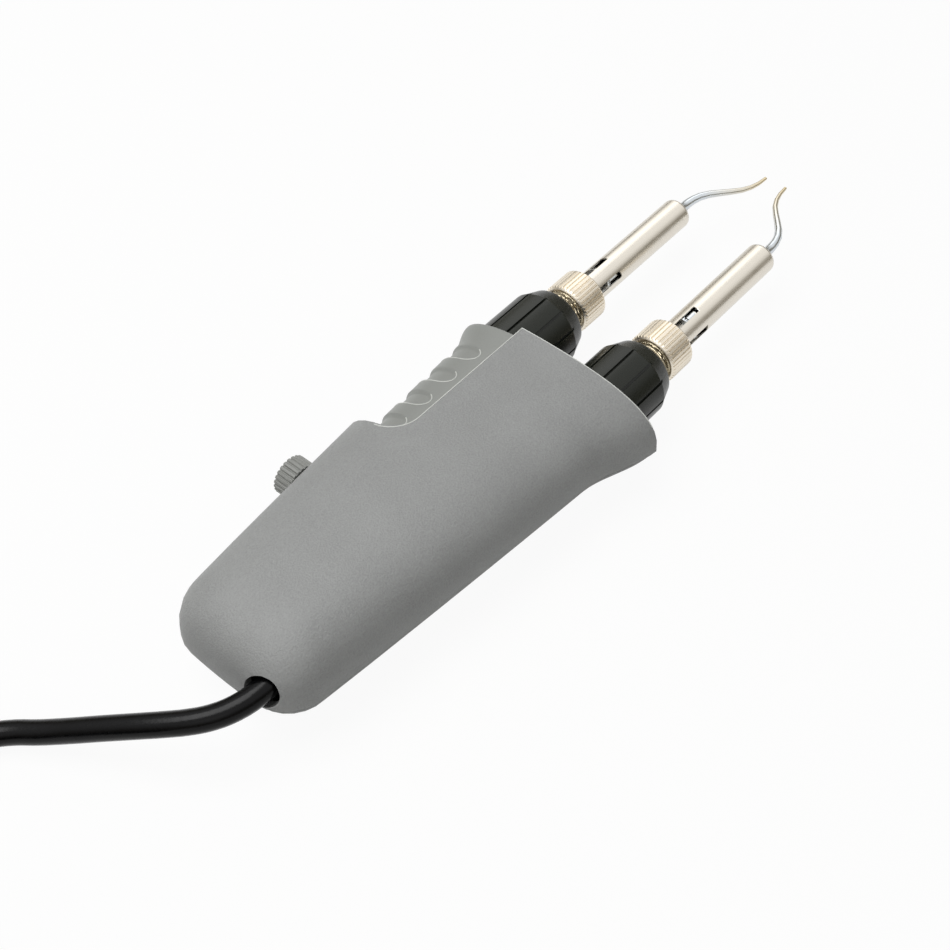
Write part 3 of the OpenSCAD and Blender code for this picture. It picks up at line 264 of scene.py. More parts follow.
# %% World
ROOM_LIGHT = 0.2
ROOM_GLOSS = 1.1
ROOM_TOP = "ffffff"
ROOM_EDGE = "868176"
EDGE_UNTIL = 0.3
TOP_FROM = 0.62

world = bpy.data.worlds.new("studio_room")
bpy.context.scene.world = world
world.use_nodes = True
tree = world.node_tree
tree.nodes.clear()
way = add_node(tree, "ShaderNodeTexCoord")
split = add_node(tree, "ShaderNodeSeparateXYZ", links={"Vector": way.outputs["Generated"]})
shade = add_node(tree, "ShaderNodeValToRGB", links={"Fac": split.outputs["Z"]})
shade.color_ramp.elements[0].position = EDGE_UNTIL
shade.color_ramp.elements[0].color = hex_colour(ROOM_EDGE)
shade.color_ramp.elements[1].position = TOP_FROM
shade.color_ramp.elements[1].color = hex_colour(ROOM_TOP)
ray = add_node(tree, "ShaderNodeLightPath")
seen = add_node(tree, "ShaderNodeMath", {"operation": "MAXIMUM"}, {
    0: ray.outputs["Is Camera Ray"], 1: ray.outputs["Is Transmission Ray"]})
lit = add_node(tree, "ShaderNodeBackground", links={
    "Color": hex_colour("ffffff"), "Strength": ROOM_LIGHT})
glossy = add_node(tree, "ShaderNodeBackground", links={
    "Color": shade.outputs["Color"], "Strength": ROOM_GLOSS})
white = add_node(tree, "ShaderNodeBackground", links={
    "Color": hex_colour("ffffff"), "Strength": 1})
around = add_node(tree, "ShaderNodeMixShader", links={
    0: ray.outputs["Is Glossy Ray"], 1: lit.outputs[0], 2: glossy.outputs[0]})
backdrop = add_node(tree, "ShaderNodeMixShader", links={
    0: seen.outputs["Value"], 1: around.outputs[0], 2: white.outputs[0]})
add_node(tree, "ShaderNodeOutputWorld", links={"Surface": backdrop.outputs[0]})
print("room light is", ROOM_LIGHT)

# %% [markdown]
# ## Lamps
# Real studios use broad soft boxes, because a broad lamp gives soft shadows and long
# highlights. The strongest stands high on the far side of the tool, so the flank that
# faces the camera falls off in tone. Two weak ones open the shadows.

# %% Lamps
# Name, place in mm, size in mm, watts
LAMPS = [
    ("top_lamp", (-160, 200, 760), 560, 4.9),
    ("front_lamp", (-620, -320, 420), 400, 0.12),
    ("far_lamp", (560, 420, 420), 500, 0.6),
]
for name, place, size, watts in LAMPS:
    bpy.ops.object.select_all(action="DESELECT")
    bpy.ops.object.light_add(type="AREA", location=Vector(place) * MM)
    lamp = bpy.context.object
    lamp.name = name
    lamp.data.size = size * MM
    lamp.data.energy = watts
    lamp.rotation_euler = (-lamp.location).to_track_quat("-Z", "Y").to_euler()
print("lamps:", len(LAMPS))

# %% [markdown]
# ## Paper sheet
# The tool lies on a sheet of white paper. Most of the sheet's brightness for the camera
# and for reflections comes from a plain glow, and the small rest is lit paper that keeps
# the tool's shadow. The lit paper still throws its light up at the tool.

# %% Floor
FLOOR_SIDE = 6
FLOOR_GREY = "e9e9e7"
FLOOR_GAP = 0.02 * MM
PAPER_GLOW = 0.94

bpy.ops.object.select_all(action="DESELECT")
bpy.ops.mesh.primitive_plane_add(size=FLOOR_SIDE)
floor = bpy.context.object
floor.name = "paper_floor"
floor.location.z = bounds_at_load[0][2] - FLOOR_GAP
bpy.ops.object.transform_apply(location=True)
paper = bpy.data.materials.new("pale_paper")
paper.use_nodes = True
tree = paper.node_tree
tree.nodes.clear()
ray = add_node(tree, "ShaderNodeLightPath")
sheet = add_node(tree, "ShaderNodeBsdfDiffuse", links={"Color": hex_colour(FLOOR_GREY)})
glow = add_node(tree, "ShaderNodeEmission", links={
    "Color": hex_colour("ffffff"), "Strength": 1})
mirrored = add_node(tree, "ShaderNodeMath", {"operation": "MAXIMUM"}, {
    0: ray.outputs["Is Camera Ray"], 1: ray.outputs["Is Glossy Ray"]})
seen = add_node(tree, "ShaderNodeMath", {"operation": "MAXIMUM"}, {
    0: mirrored.outputs["Value"], 1: ray.outputs["Is Transmission Ray"]})
share = add_node(tree, "ShaderNodeMath", {"operation": "MULTIPLY"}, {
    0: seen.outputs["Value"], 1: PAPER_GLOW})
both = add_node(tree, "ShaderNodeMixShader", links={
    0: share.outputs["Value"], 1: sheet.outputs[0], 2: glow.outputs[0]})
# Seen from under the bench, the sheet is clear, so that the tool's base can be looked at
clear = add_node(tree, "ShaderNodeBsdfTransparent")
side = add_node(tree, "ShaderNodeNewGeometry")
sheet_side = add_node(tree, "ShaderNodeMixShader", links={
    0: side.outputs["Backfacing"], 1: both.outputs[0], 2: clear.outputs[0]})
add_node(tree, "ShaderNodeOutputMaterial", links={"Surface": sheet_side.outputs[0]})
floor.data.materials.append(paper)
print("floor lies at", round(bounds_at_load[0][2] / MM, 2), "mm")

# %% [markdown]
# ## Moulded plastic
# Moulded plastic shows its mould: spark erosion leaves a fine grain that breaks up the
# light, and a stoned mould leaves a satin one. The finish mixes a fine grain with a slow
# cloud of tone, and the grain also drives roughness and bump, because one surface gives
# all three.

# %% Moulded plastic
RAMP_LOW = 0.3
RAMP_HIGH = 0.7
CLOUD_SHARE = 0.3
CLOUD_MM = 18
PLASTIC_IOR = 1.54
COAT_ROUGHNESS = 0.2
SMOOTHER = 0.06
ROUGHER = 0.08
GRAIN_DETAIL = 3
GRAIN_ROUGHNESS = 0.6
CLOUD_DETAIL = 2


def tone_ramp(tree, mask, colour, spread):
    """A ramp over a mask, from a little darker than a colour to a little paler."""
    tone = add_node(tree, "ShaderNodeValToRGB", links={"Fac": mask})
    base = hex_colour(colour)[:3]
    stops = zip(tone.color_ramp.elements, (RAMP_LOW, RAMP_HIGH), (-1, 1))
    for element, position, way in stops:
        element.position = position
        element.color = [min(1, c * (1 + way * spread)) for c in base] + [1]
    return tone.outputs["Color"]


def moulded(name, colour, grain_mm, depth_mm, roughness, spread=0.06, coat=0, gloss=0.5):
    """A plastic that takes its grain from the mould, with a slightly uneven tone."""
    material = bpy.data.materials.new(name)
    material.use_nodes = True
    tree = material.node_tree
    shader = tree.nodes["Principled BSDF"]
    place = add_node(tree, "ShaderNodeTexCoord").outputs["Object"]
    grain = add_node(tree, "ShaderNodeTexNoise", links={
        "Vector": place, "Scale": 1 / (grain_mm * MM), "Detail": GRAIN_DETAIL,
        "Roughness": GRAIN_ROUGHNESS})
    cloud = add_node(tree, "ShaderNodeTexNoise", links={
        "Vector": place, "Scale": 1 / (CLOUD_MM * MM), "Detail": CLOUD_DETAIL})
    fleck = add_node(tree, "ShaderNodeMix", {"data_type": "FLOAT"}, {
        0: CLOUD_SHARE, 2: grain.outputs["Fac"], 3: cloud.outputs["Fac"]}).outputs[0]
    tree.links.new(tone_ramp(tree, fleck, colour, spread), shader.inputs["Base Color"])
    sheen = add_node(tree, "ShaderNodeMapRange", links={
        "Value": fleck, "From Min": RAMP_LOW, "From Max": RAMP_HIGH,
        "To Min": roughness - SMOOTHER, "To Max": roughness + ROUGHER})
    tree.links.new(sheen.outputs["Result"], shader.inputs["Roughness"])
    bump = add_node(tree, "ShaderNodeBump", links={
        "Height": grain.outputs["Fac"], "Distance": depth_mm * MM, "Strength": 1})
    tree.links.new(bump.outputs["Normal"], shader.inputs["Normal"])
    shader.inputs["IOR"].default_value = PLASTIC_IOR
    shader.inputs["Specular IOR Level"].default_value = gloss
    shader.inputs["Coat Weight"].default_value = coat
    shader.inputs["Coat Roughness"].default_value = COAT_ROUGHNESS
    return material


print("moulded plastic has an IOR of", PLASTIC_IOR)

# %% [markdown]
# ## Plastics that show
# Each call names what the plastic is. Its values are the colour, the size and depth of
# the grain in mm, the roughness, and how much the tone varies. A coat is a clear gloss on
# top, and gloss below a half makes the surface reflect less than plain plastic.

# %% Plastics that show
# ABS from a spark-eroded mould: matt, with a fine sparkle. The real grain of about 0.1 mm
# is drawn at 0.45 mm, as coarse as it needs to show.
housing_finish = moulded("spark_textured_abs", "949594", 0.45, 0.16, 0.5, 0.18)
# The same ABS painted a darker grey on the lower half, as painted shade for the side that
# faces the bench; its real colour is a guess, as it hardly shows
base_finish_painted_shade = moulded("abs_darkened_as_painted_shade", "6e706d", 0.45, 0.1, 0.55, 0.12)
# ABS from a stoned mould: smoother, so a shade paler
lever_finish = moulded("satin_abs", "8f918d", 0.45, 0.03, 0.42, 0.05)
# Phenolic with wood flour: nearly black, with a green cast and a dull gloss
collar_finish = moulded("satin_phenolic", "1a1d16", 0.4, 0.012, 0.28, 0.12, gloss=0.28)
# Nylon with glass fibre: mid grey, a little rough on its ribs
knob_finish = moulded("glass_filled_nylon", "8b8c88", 0.3, 0.02, 0.5, 0.08)
# Soft PVC: black, and shiny where it is stretched over the cores
sheath_finish = moulded("soft_pvc", "070708", 0.9, 0.02, 0.22, 0.2, gloss=0.14)
# Hard PVC round the plug: black and duller, from a textured mould
plug_finish = moulded("hard_pvc", "1c1d1f", 0.5, 0.02, 0.4, 0.15)
# Nylon of the ties and the clip: soft black, with a waxy look
black_finish = moulded("black_nylon", "222324", 0.4, 0.015, 0.45, 0.15)
print("plastics that show:", len(bpy.data.materials))

# %% [markdown]
# ## Plastics and ceramics inside
# The inside parts are guesses of the usual kind, and take the usual colours of such
# parts, so that a learner who opens the housing can tell them apart.

# %% Plastics and ceramics inside
# Phenolic case of the control: dark blue, a little glossy
pot_finish = moulded("blue_phenolic", "33507c", 0.4, 0.01, 0.35, 0.08)
# Polyamide of the terminal block: green and even
block_finish = moulded("green_polyamide", "2f6b50", 0.4, 0.01, 0.4, 0.06)
# Dipped epoxy of the capacitor: ochre and glossy, with a slight orange peel
film_finish = moulded("dipped_epoxy", "b99a38", 0.6, 0.03, 0.25, 0.06, coat=0.3)
# Silicone rubber on the heater's leads: brick red and dull, for heat
lead_finish = moulded("silicone_rubber", "b23a30", 0.5, 0.015, 0.5, 0.08)
# PVC on the mains cores: brown and smooth
core_finish = moulded("pvc_core", "6a4a2c", 0.5, 0.01, 0.4, 0.08)
# Steatite of the heaters: chalky white
ceramic_finish = moulded("steatite", "e6e2d8", 0.5, 0.015, 0.4, 0.04)
# Glazed ceramic of the fuse: white under a clear coat
fuse_finish = moulded("glazed_ceramic", "dcdad2", 0.8, 0.004, 0.18, 0.03, coat=0.6)
print("finishes so far:", len(bpy.data.materials))

# %% [markdown]
# ## Worked metal
# Turned metal shows rings round its axis, and drawn metal shows lines along it. A noise
# that is stretched on one or two axes gives either. It changes the tone and the
# roughness, and where the lines can be felt it is a bump too.

# %% Worked metal
METAL_CLOUD_SHARE = 0.4
METAL_CLOUD_MM = 6
METAL_SMOOTHER = 0.07
SMOOTHEST = 0.05


def worked_metal(name, colour, roughness, line_mm, stretch, depth_mm, spread=0.1):
    """A metal with fine tool lines. stretch is how much longer a line is on each axis."""
    material = bpy.data.materials.new(name)
    material.use_nodes = True
    tree = material.node_tree
    shader = tree.nodes["Principled BSDF"]
    place = add_node(tree, "ShaderNodeTexCoord").outputs["Object"]
    turned = add_node(tree, "ShaderNodeMapping", links={
        "Vector": place, "Scale": [1 / (line_mm * MM * s) for s in stretch]})
    lines = add_node(tree, "ShaderNodeTexNoise", links={
        "Vector": turned.outputs["Vector"], "Scale": 1, "Detail": GRAIN_DETAIL})
    cloud = add_node(tree, "ShaderNodeTexNoise", links={
        "Vector": place, "Scale": 1 / (METAL_CLOUD_MM * MM), "Detail": CLOUD_DETAIL})
    wear = add_node(tree, "ShaderNodeMix", {"data_type": "FLOAT"}, {
        0: METAL_CLOUD_SHARE, 2: lines.outputs["Fac"], 3: cloud.outputs["Fac"]}).outputs[0]
    tree.links.new(tone_ramp(tree, wear, colour, spread), shader.inputs["Base Color"])
    rough = add_node(tree, "ShaderNodeMapRange", links={
        "Value": wear, "From Min": RAMP_LOW, "From Max": RAMP_HIGH,
        "To Min": max(SMOOTHEST, roughness - METAL_SMOOTHER),
        "To Max": roughness + ROUGHER})
    tree.links.new(rough.outputs["Result"], shader.inputs["Roughness"])
    if depth_mm:
        bump = add_node(tree, "ShaderNodeBump", links={
            "Height": lines.outputs["Fac"], "Distance": depth_mm * MM, "Strength": 1})
        tree.links.new(bump.outputs["Normal"], shader.inputs["Normal"])
    shader.inputs["Metallic"].default_value = 1
    return material


print("the slow tone of metal is", METAL_CLOUD_MM, "mm across")

# %% [markdown]
# ## The tool's metals
# The values are the colour, the roughness, the width of a line in mm, how much longer it
# is on each axis, and its depth in mm. The arms lie along X, so rings are long on Y and
# Z, and drawn lines are long on X.

# %% The tool's metals
# Nickel on turned brass: rings round the axis, and the brass warms it
nickel_finish = worked_metal("nickel_on_brass", "e6ddcd", 0.34, 0.12, (1, 20, 20), 0.004)
# Threads of the same nickel, painted darker with strong dark and pale rings round the
# axis, as painted shade in their grooves
thread_finish_painted_shade = worked_metal("nickel_thread_painted_groove_shade", "b3a890", 0.3, 0.5, (1, 60, 60), 0.04, 0.5)
# Drawn stainless tube: long lines that blur its reflections along the axis
tube_finish = worked_metal("drawn_stainless", "e0dacf", 0.3, 0.5, (90, 1, 1), 0, 0.05)
# Zinc on steel screws, pin and spring: blue-grey crystals, rather dull
zinc_finish = worked_metal("zinc_plated_steel", "bcbcb8", 0.35, 0.3, (1, 1, 1), 0.003)
# Extruded aluminium of the heat sink: lines along its fins
sink_finish = worked_metal("extruded_aluminium", "c4c6c8", 0.38, 0.15, (1, 30, 1), 0.006)
# Nickel on the plug's pins: smooth and bright
pin_finish = worked_metal("nickel_plug_pins", "d8d2c2", 0.22, 0.2, (30, 1, 1), 0.002)
print("finishes so far:", len(bpy.data.materials))

# %% [markdown]
# ## Heat-tinted tips
# The tips are chrome on a bent rod. Heat colours a metal by its oxide, and the hottest
# place is the point. The finish starts as plain metal, and its colour then turns to a
# pale straw along X.

# %% Hot tips
# Chrome: bright and bluish, tinted by heat to a pale straw at the points
TINT_FROM_X = 142
TINT_TO_X = 162
TINT = "d9c7a0"

tip_finish = worked_metal("heat_tinted_chrome", "cdd2d6", 0.18, 0.5, (8, 1, 1), 0, 0.04)
tree = tip_finish.node_tree
shader = tree.nodes["Principled BSDF"]
bright = shader.inputs["Base Color"].links[0].from_socket
place = add_node(tree, "ShaderNodeTexCoord").outputs["Object"]
split = add_node(tree, "ShaderNodeSeparateXYZ", links={"Vector": place})
along = add_node(tree, "ShaderNodeMapRange", links={
    "Value": split.outputs["X"], "From Min": TINT_FROM_X * MM, "From Max": TINT_TO_X * MM})
tint = add_node(tree, "ShaderNodeMix", {"data_type": "RGBA"}, {
    0: along.outputs["Result"], 6: bright, 7: hex_colour(TINT)})
tree.links.new(tint.outputs[2], shader.inputs["Base Color"])
print("tips turn straw from x", TINT_FROM_X, "to", TINT_TO_X)

# %% [markdown]
# ## Circuit board
# The board is a glass-fibre laminate under a green mask, through which the copper tracks
# show as paler lanes. A brick pattern gives lanes with joints at little cost, which is
# enough for a part that is only seen when the housing is open.

# %% Circuit board
TRACK_MM = 2.4
BRICK_MM = 4 * TRACK_MM
TRACK_SHARE = 0.6
MORTAR_SHARE = 0.03
TRACK_TONES = ("2f7a49", "2a6e41")
MORTAR_TONE = "1a4c2c"

# Solder mask: deep green and glossy
board_finish = moulded("solder_masked_laminate", "1f5a35", 0.5, 0.01, 0.3, 0.08)
tree = board_finish.node_tree
shader = tree.nodes["Principled BSDF"]
mask = shader.inputs["Base Color"].links[0].from_socket
place = add_node(tree, "ShaderNodeTexCoord").outputs["Object"]
lanes = add_node(tree, "ShaderNodeTexBrick", {"offset": 0.5}, {
    "Vector": place, "Color1": hex_colour(TRACK_TONES[0]),
    "Color2": hex_colour(TRACK_TONES[1]), "Mortar": hex_colour(MORTAR_TONE),
    "Scale": 1 / (BRICK_MM * MM), "Mortar Size": MORTAR_SHARE})
tracks = add_node(tree, "ShaderNodeMix", {"data_type": "RGBA"}, {
    0: TRACK_SHARE, 6: mask, 7: lanes.outputs["Color"]})
tree.links.new(tracks.outputs[2], shader.inputs["Base Color"])
print("board lanes are", TRACK_MM, "mm apart")

# %% [markdown]
# ## A finish for every node
# Many CAD nodes keep their own shape and only take a finish, by their material slot. The
# table has one line for each finish, so that no node is forgotten.

# %% Finish by node
FINISHES = {
    housing_finish: ["top_shell"],
    base_finish_painted_shade: ["bottom_shell"],
    lever_finish: ["lever"],
    collar_finish: ["fixed_collar", "moving_collar"],
    nickel_finish: ["fixed_nut", "moving_nut"],
    thread_finish_painted_shade: ["fixed_nipple", "moving_nipple"],
    tube_finish: ["fixed_tube", "moving_tube"],
    tip_finish: ["fixed_tip", "moving_tip"],
    ceramic_finish: ["fixed_heater", "moving_heater"],
    knob_finish: ["knob"],
    pot_finish: ["pot_body"],
    zinc_finish: ["pivot_pin", "return_spring", "housing_screws", "board_screws",
                  "clip_screw", "pot_shaft"],
    board_finish: ["circuit_board"],
    black_finish: ["triac", "cord_clip", "cord_ties"],
    sink_finish: ["heat_sink"],
    film_finish: ["film_capacitor"],
    fuse_finish: ["fuse"],
    block_finish: ["terminal_block"],
    core_finish: ["mains_cores"],
    sheath_finish: ["cord_inner"],
    lead_finish: ["fixed_leads", "moving_leads"],
    plug_finish: ["plug_body"],
    pin_finish: ["plug_pins"],
}
for finish, names in FINISHES.items():
    for name in names:
        data = bpy.data.objects[name].data
        data.materials.clear()
        data.materials.append(finish)
cord.data.materials.append(sheath_finish)
print("finished nodes:", sum(len(names) for names in FINISHES.values()))

# %% [markdown]
# ## Softened mouldings
# A moulded or turned part has no knife edges: each corner carries a small radius that
# catches a line of light. The CAD nodes have sharp edges and flat facets, so the parts
# that show get a copy with smooth facets, and mouldings get rounded edges too. A bevel
# with an angle limit finds the real edges and leaves the facets alone.

# %% Softening helper
EDGE_ANGLE = math.radians(28)
FLAT_ANGLE = math.radians(0.5)
ROUND_SEGMENTS = 2
MERGE = 0.002 * MM


def softened(name, body, finish, radius_mm):
    """A copy of a CAD node with rounded edges and smooth facets, which stands for it."""
    source = bpy.data.objects[name]
    piece = bpy.data.objects.new(name + "_moulded", source.data.copy())
    bpy.context.scene.collection.objects.link(piece)
    bpy.ops.object.select_all(action="DESELECT")
    bpy.context.view_layer.objects.active = piece
    piece.select_set(True)
    bpy.ops.object.mode_set(mode="EDIT")
    bpy.ops.mesh.select_all(action="SELECT")
    bpy.ops.mesh.remove_doubles(threshold=MERGE)
    if radius_mm:
        bpy.ops.mesh.dissolve_limited(angle_limit=FLAT_ANGLE)
    bpy.ops.mesh.normals_make_consistent(inside=False)
    bpy.ops.object.mode_set(mode="OBJECT")
    if radius_mm:
        rounding = piece.modifiers.new("rounding", "BEVEL")
        rounding.width = radius_mm * MM
        rounding.segments = ROUND_SEGMENTS
        rounding.limit_method = "ANGLE"
        rounding.angle_limit = EDGE_ANGLE
        rounding.use_clamp_overlap = True
        bpy.ops.object.modifier_apply(modifier=rounding.name)
    bpy.ops.object.shade_smooth_by_angle(angle=EDGE_ANGLE)
    even = piece.modifiers.new("even", "WEIGHTED_NORMAL")
    even.keep_sharp = True
    bpy.ops.object.modifier_apply(modifier=even.name)
    piece.data.materials.clear()
    piece.data.materials.append(finish)
    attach(piece, body)
    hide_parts(name)
    return piece


print("edges sharper than", round(math.degrees(EDGE_ANGLE)), "degrees are rounded")

# %% [markdown]
# ## Shells, collars, nuts, tubes, tips, knob and plug
# Each line names a node, the body it rides on, its finish and slot, and its edge radius
# in mm. A thread, a slotted tube or a swept tip has no radius: its own facets are fine
# enough, and a bevel would crowd them.

# %% Softened copies
for name, body, finish, slot, radius in (
    ("top_shell", "housing_body", housing_finish, "housing_plastic", 0.3),
    ("bottom_shell", "housing_body", base_finish_painted_shade, "housing_plastic", 0.3),
    ("fixed_collar", "housing_body", collar_finish, "collar_plastic", 0.15),
    ("moving_collar", "lever_arm", collar_finish, "collar_plastic", 0.15),
    ("fixed_nipple", "housing_body", thread_finish_painted_shade, "nickel", 0),
    ("moving_nipple", "lever_arm", thread_finish_painted_shade, "nickel", 0),
    ("fixed_nut", "housing_body", nickel_finish, "nickel", 0.06),
    ("moving_nut", "lever_arm", nickel_finish, "nickel", 0.06),
    ("fixed_tube", "housing_body", tube_finish, "tube_steel", 0),
    ("moving_tube", "lever_arm", tube_finish, "tube_steel", 0),
    ("fixed_tip", "housing_body", tip_finish, "tip_plating", 0),
    ("moving_tip", "lever_arm", tip_finish, "tip_plating", 0),
    ("knob", "knob_spindle", knob_finish, "knob_plastic", 0.1),
    ("plug_body", "housing_body", plug_finish, "cord_sheath", 0.3),
):
    piece = softened(name, body, finish, radius)
    print(piece.name, len(piece.data.polygons), "faces")

# %% [markdown]
# ## Return spring
# The spring pushes the lever open, and gives way when the fingers close it. Its copy keeps
# its seat in the housing, with a mesh of its own.

# %% Return spring
LEVER_REAR_X = 7.016

spring = softened("return_spring", "housing_body", zinc_finish, 0)
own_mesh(spring)

# %% [markdown]
# ## Finger lever
# The lever is a thin ABS shell with four finger scallops pressed into its side. A scallop
# needs a crisp rim, finer than the CAD facets. A fine grid is bent onto the same curve as
# the CAD lever, the scallops are pushed in, and the grid is thickened. Edit-mode tools
# can't follow a superellipse, so the bending is done point by point.

# %% Lever values
# The housing: where its halves part, its mouth, its seam to the lever
PARTING_Z = 14.5
MOUTH_X = 57
SEAM_Y = 9.5
# The lever: how far it reaches under the seam, its front, height, drop, widths and flare
TONGUE = 4
LEVER_FRONT_X = 55.5
LEVER_H = 13
LEVER_DROP = 13.6
LEVER_REAR_Y = 22.3
LEVER_FRONT_Y = 25
LEVER_FLARE = 2.2
FLARE_L = 7
# The powers of the superellipse over and under the parting plane
CROWN_POWER = 2.5
KEEL_POWER = 2.4
SKIN_T = 1
# The scallops: along the lever in mm, round it in degrees
GROOVE_COUNT = 4
GROOVE_PITCH = 9.6
GROOVE_FIRST = 10.7
GROOVE_HALF = 2.7
GROOVE_END = 50
GROOVE_LOW = 25
GROOVE_ROUND = 12
GROOVE_DEEP = 0.8
GROOVE_STEEP = 1.9
# The housing's opening behind the lever
NOTCH_R = 7.6
NOTCH_X = 18.0
NOTCH_SLANT = 2
NOTCH_RUN = 39.4
ROOM = 0.1
CREASE = math.radians(30)
LEVER_COLUMNS = 150
LEVER_ROWS = 130


def lever_half(x):
    """How far the lever's side stands from the middle at x, in mm."""
    share = (x - LEVER_REAR_X) / (LEVER_FRONT_X - FLARE_L - LEVER_REAR_X)
    return mix(LEVER_REAR_Y, LEVER_FRONT_Y, share) + LEVER_FLARE * smooth(
        (x - LEVER_FRONT_X) / FLARE_L + 1)


def groove_depth(x, a):
    """How deep the scallops are at x and the angle a round the lever's side."""
    end = math.degrees(a) - GROOVE_END if a > 0 else -math.degrees(a) - GROOVE_LOW
    deepest = 0
    for i in range(GROOVE_COUNT):
        u = (x - LEVER_FRONT_X + GROOVE_FIRST + i * GROOVE_PITCH) / GROOVE_HALF
        v = max(0, end) / GROOVE_ROUND
        deepest = max(deepest, min(1, max(0, GROOVE_STEEP * (1 - u * u - v * v))))
    return GROOVE_DEEP * deepest


def lever_place(x, a, sunk=0):
    """The point of the lever's side at x and the angle a, in mm."""
    power = KEEL_POWER if a < 0 else CROWN_POWER
    y = lever_half(x) * math.cos(a) ** (2 / power)
    z = (-LEVER_DROP if a < 0 else LEVER_H) * abs(math.sin(a)) ** (2 / power)
    keep = 1 - sunk / math.hypot(y, z)
    return Vector((x, y * keep, PARTING_Z + z * keep))


def notch_y(x):
    """The edge of the housing's opening for the lever, in mm."""
    if x >= NOTCH_X:
        return SEAM_Y
    if x > NOTCH_X - NOTCH_R:
        return SEAM_Y + NOTCH_R - math.sqrt(NOTCH_R ** 2 - (NOTCH_X - x) ** 2)
    return SEAM_Y + NOTCH_R + (NOTCH_X - NOTCH_R - x) * NOTCH_RUN / NOTCH_SLANT


print("lever reaches", round(lever_half(LEVER_FRONT_X), 1), "mm from the middle")

# %% [markdown]
# ## The lever's skin
# The flat grid's two directions become the way along the lever and the angle round its
# side. Each point is set on the curve, less the depth of the scallop there. The wall is
# added last, so that it is equally thick under a scallop.

# %% Lever skin
bpy.ops.object.select_all(action="DESELECT")
bpy.ops.mesh.primitive_grid_add(
    x_subdivisions=LEVER_COLUMNS, y_subdivisions=LEVER_ROWS, size=2)
lever_skin = bpy.context.object
lever_skin.name = "lever_grip_shell"
for vertex in lever_skin.data.vertices:
    x = mix(LEVER_REAR_X + ROOM, LEVER_FRONT_X, (vertex.co.x + 1) / 2)
    half = lever_half(x)
    low = min(1, (notch_y(x) + ROOM) / half) ** (KEEL_POWER / 2)
    high = min(1, (SEAM_Y - TONGUE) / half) ** (CROWN_POWER / 2)
    a = mix(-math.acos(low), math.acos(high), (vertex.co.y + 1) / 2)
    vertex.co = lever_place(x, a, groove_depth(x, a)) * MM
bpy.ops.object.mode_set(mode="EDIT")
bpy.ops.mesh.select_all(action="SELECT")
bpy.ops.mesh.flip_normals()
bpy.ops.object.mode_set(mode="OBJECT")
wall = lever_skin.modifiers.new("wall", "SOLIDIFY")
wall.thickness = SKIN_T * MM
wall.offset = -1
bpy.ops.object.modifier_apply(modifier=wall.name)
bpy.ops.object.mode_set(mode="EDIT")
bpy.ops.mesh.select_all(action="SELECT")
bpy.ops.mesh.remove_doubles(threshold=MERGE)
bpy.ops.mesh.normals_make_consistent(inside=False)
bpy.ops.object.mode_set(mode="OBJECT")
bpy.ops.object.shade_smooth_by_angle(angle=CREASE)
lever_skin.data.materials.append(lever_finish)
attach(lever_skin, "lever_arm")
print("lever skin has", len(lever_skin.data.polygons), "faces")

# %% [markdown]
# ## The lever's core
# Inside, the lever holds the arm, the pin and the spring. The CAD shape of those seats is
# right, so a copy of the CAD lever stays, with its outer side drawn in under the new skin.

# %% Lever core
CORE_IN = 1.3
CORE_BACK = 0.2
OUTER_FROM = 0.94

lever_core = softened("lever", "lever_arm", lever_finish, 0)
for vertex in lever_core.data.vertices:
    x, y, z = (v / MM for v in vertex.co)
    y_share = abs(y) / lever_half(min(x, LEVER_FRONT_X))
    z_share = abs(z - PARTING_Z) / (LEVER_DROP if z < PARTING_Z else LEVER_H)
    power = KEEL_POWER if z < PARTING_Z else CROWN_POWER
    out = (y_share ** power + z_share ** power) ** (1 / power)
    reach = math.hypot(y, z - PARTING_Z)
    if out > OUTER_FROM:
        keep = 1 - CORE_IN / reach
        vertex.co = Vector((min(x, LEVER_FRONT_X - CORE_BACK), y * keep,
                            PARTING_Z + (z - PARTING_Z) * keep)) * MM
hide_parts("lever")
print("lever core drawn in by", CORE_IN, "mm")

# %% [markdown]
# ## Light edges
# Where two mould halves meet, a moulding has a hair-fine raised line. Here a thin round
# bead on the surface, painted pale, stands for the line of light on it: a painted
# highlight. It runs along the seam of the housing, round its mouth, and round the near
# side of each finger scallop.

# %% Bead helper
# The top shell: its height, power, widths at tail and front, and how its sides swell
TOP_H = 15.2
TOP_POWER = 2.7
TAIL_W = 41
FRONT_W = 55.4
FAR_EXTRA = 1.2
SIDE_BOW = 0.2
NOSE_FLARE = 4.2
NOSE_L = 19
TAPER_FROM = TAIL_X + 15
TAPER_TO = MOUTH_X - 20
BEAD_ROUND = 2
BEAD_STEPS = 2

# The same ABS painted pale on a hair-fine ridge, as a painted highlight
painted_highlight_finish = moulded("abs_painted_edge_highlight", "d4d6d1", 0.3, 0.004, 0.4, 0.03)


def top_place(x, y):
    """The point of the top shell at x and y, in mm."""
    share = (x - TAPER_FROM) / (TAPER_TO - TAPER_FROM)
    half = mix(TAIL_W, FRONT_W, share) / 2 + 4 * SIDE_BOW * share * (1 - share)
    half += FAR_EXTRA if y > 0 else NOSE_FLARE * smooth((x - MOUTH_X) / NOSE_L + 1)
    up = max(0, 1 - (abs(y) / half) ** TOP_POWER) ** (1 / TOP_POWER)
    return Vector((x, y, PARTING_Z + TOP_H * up))


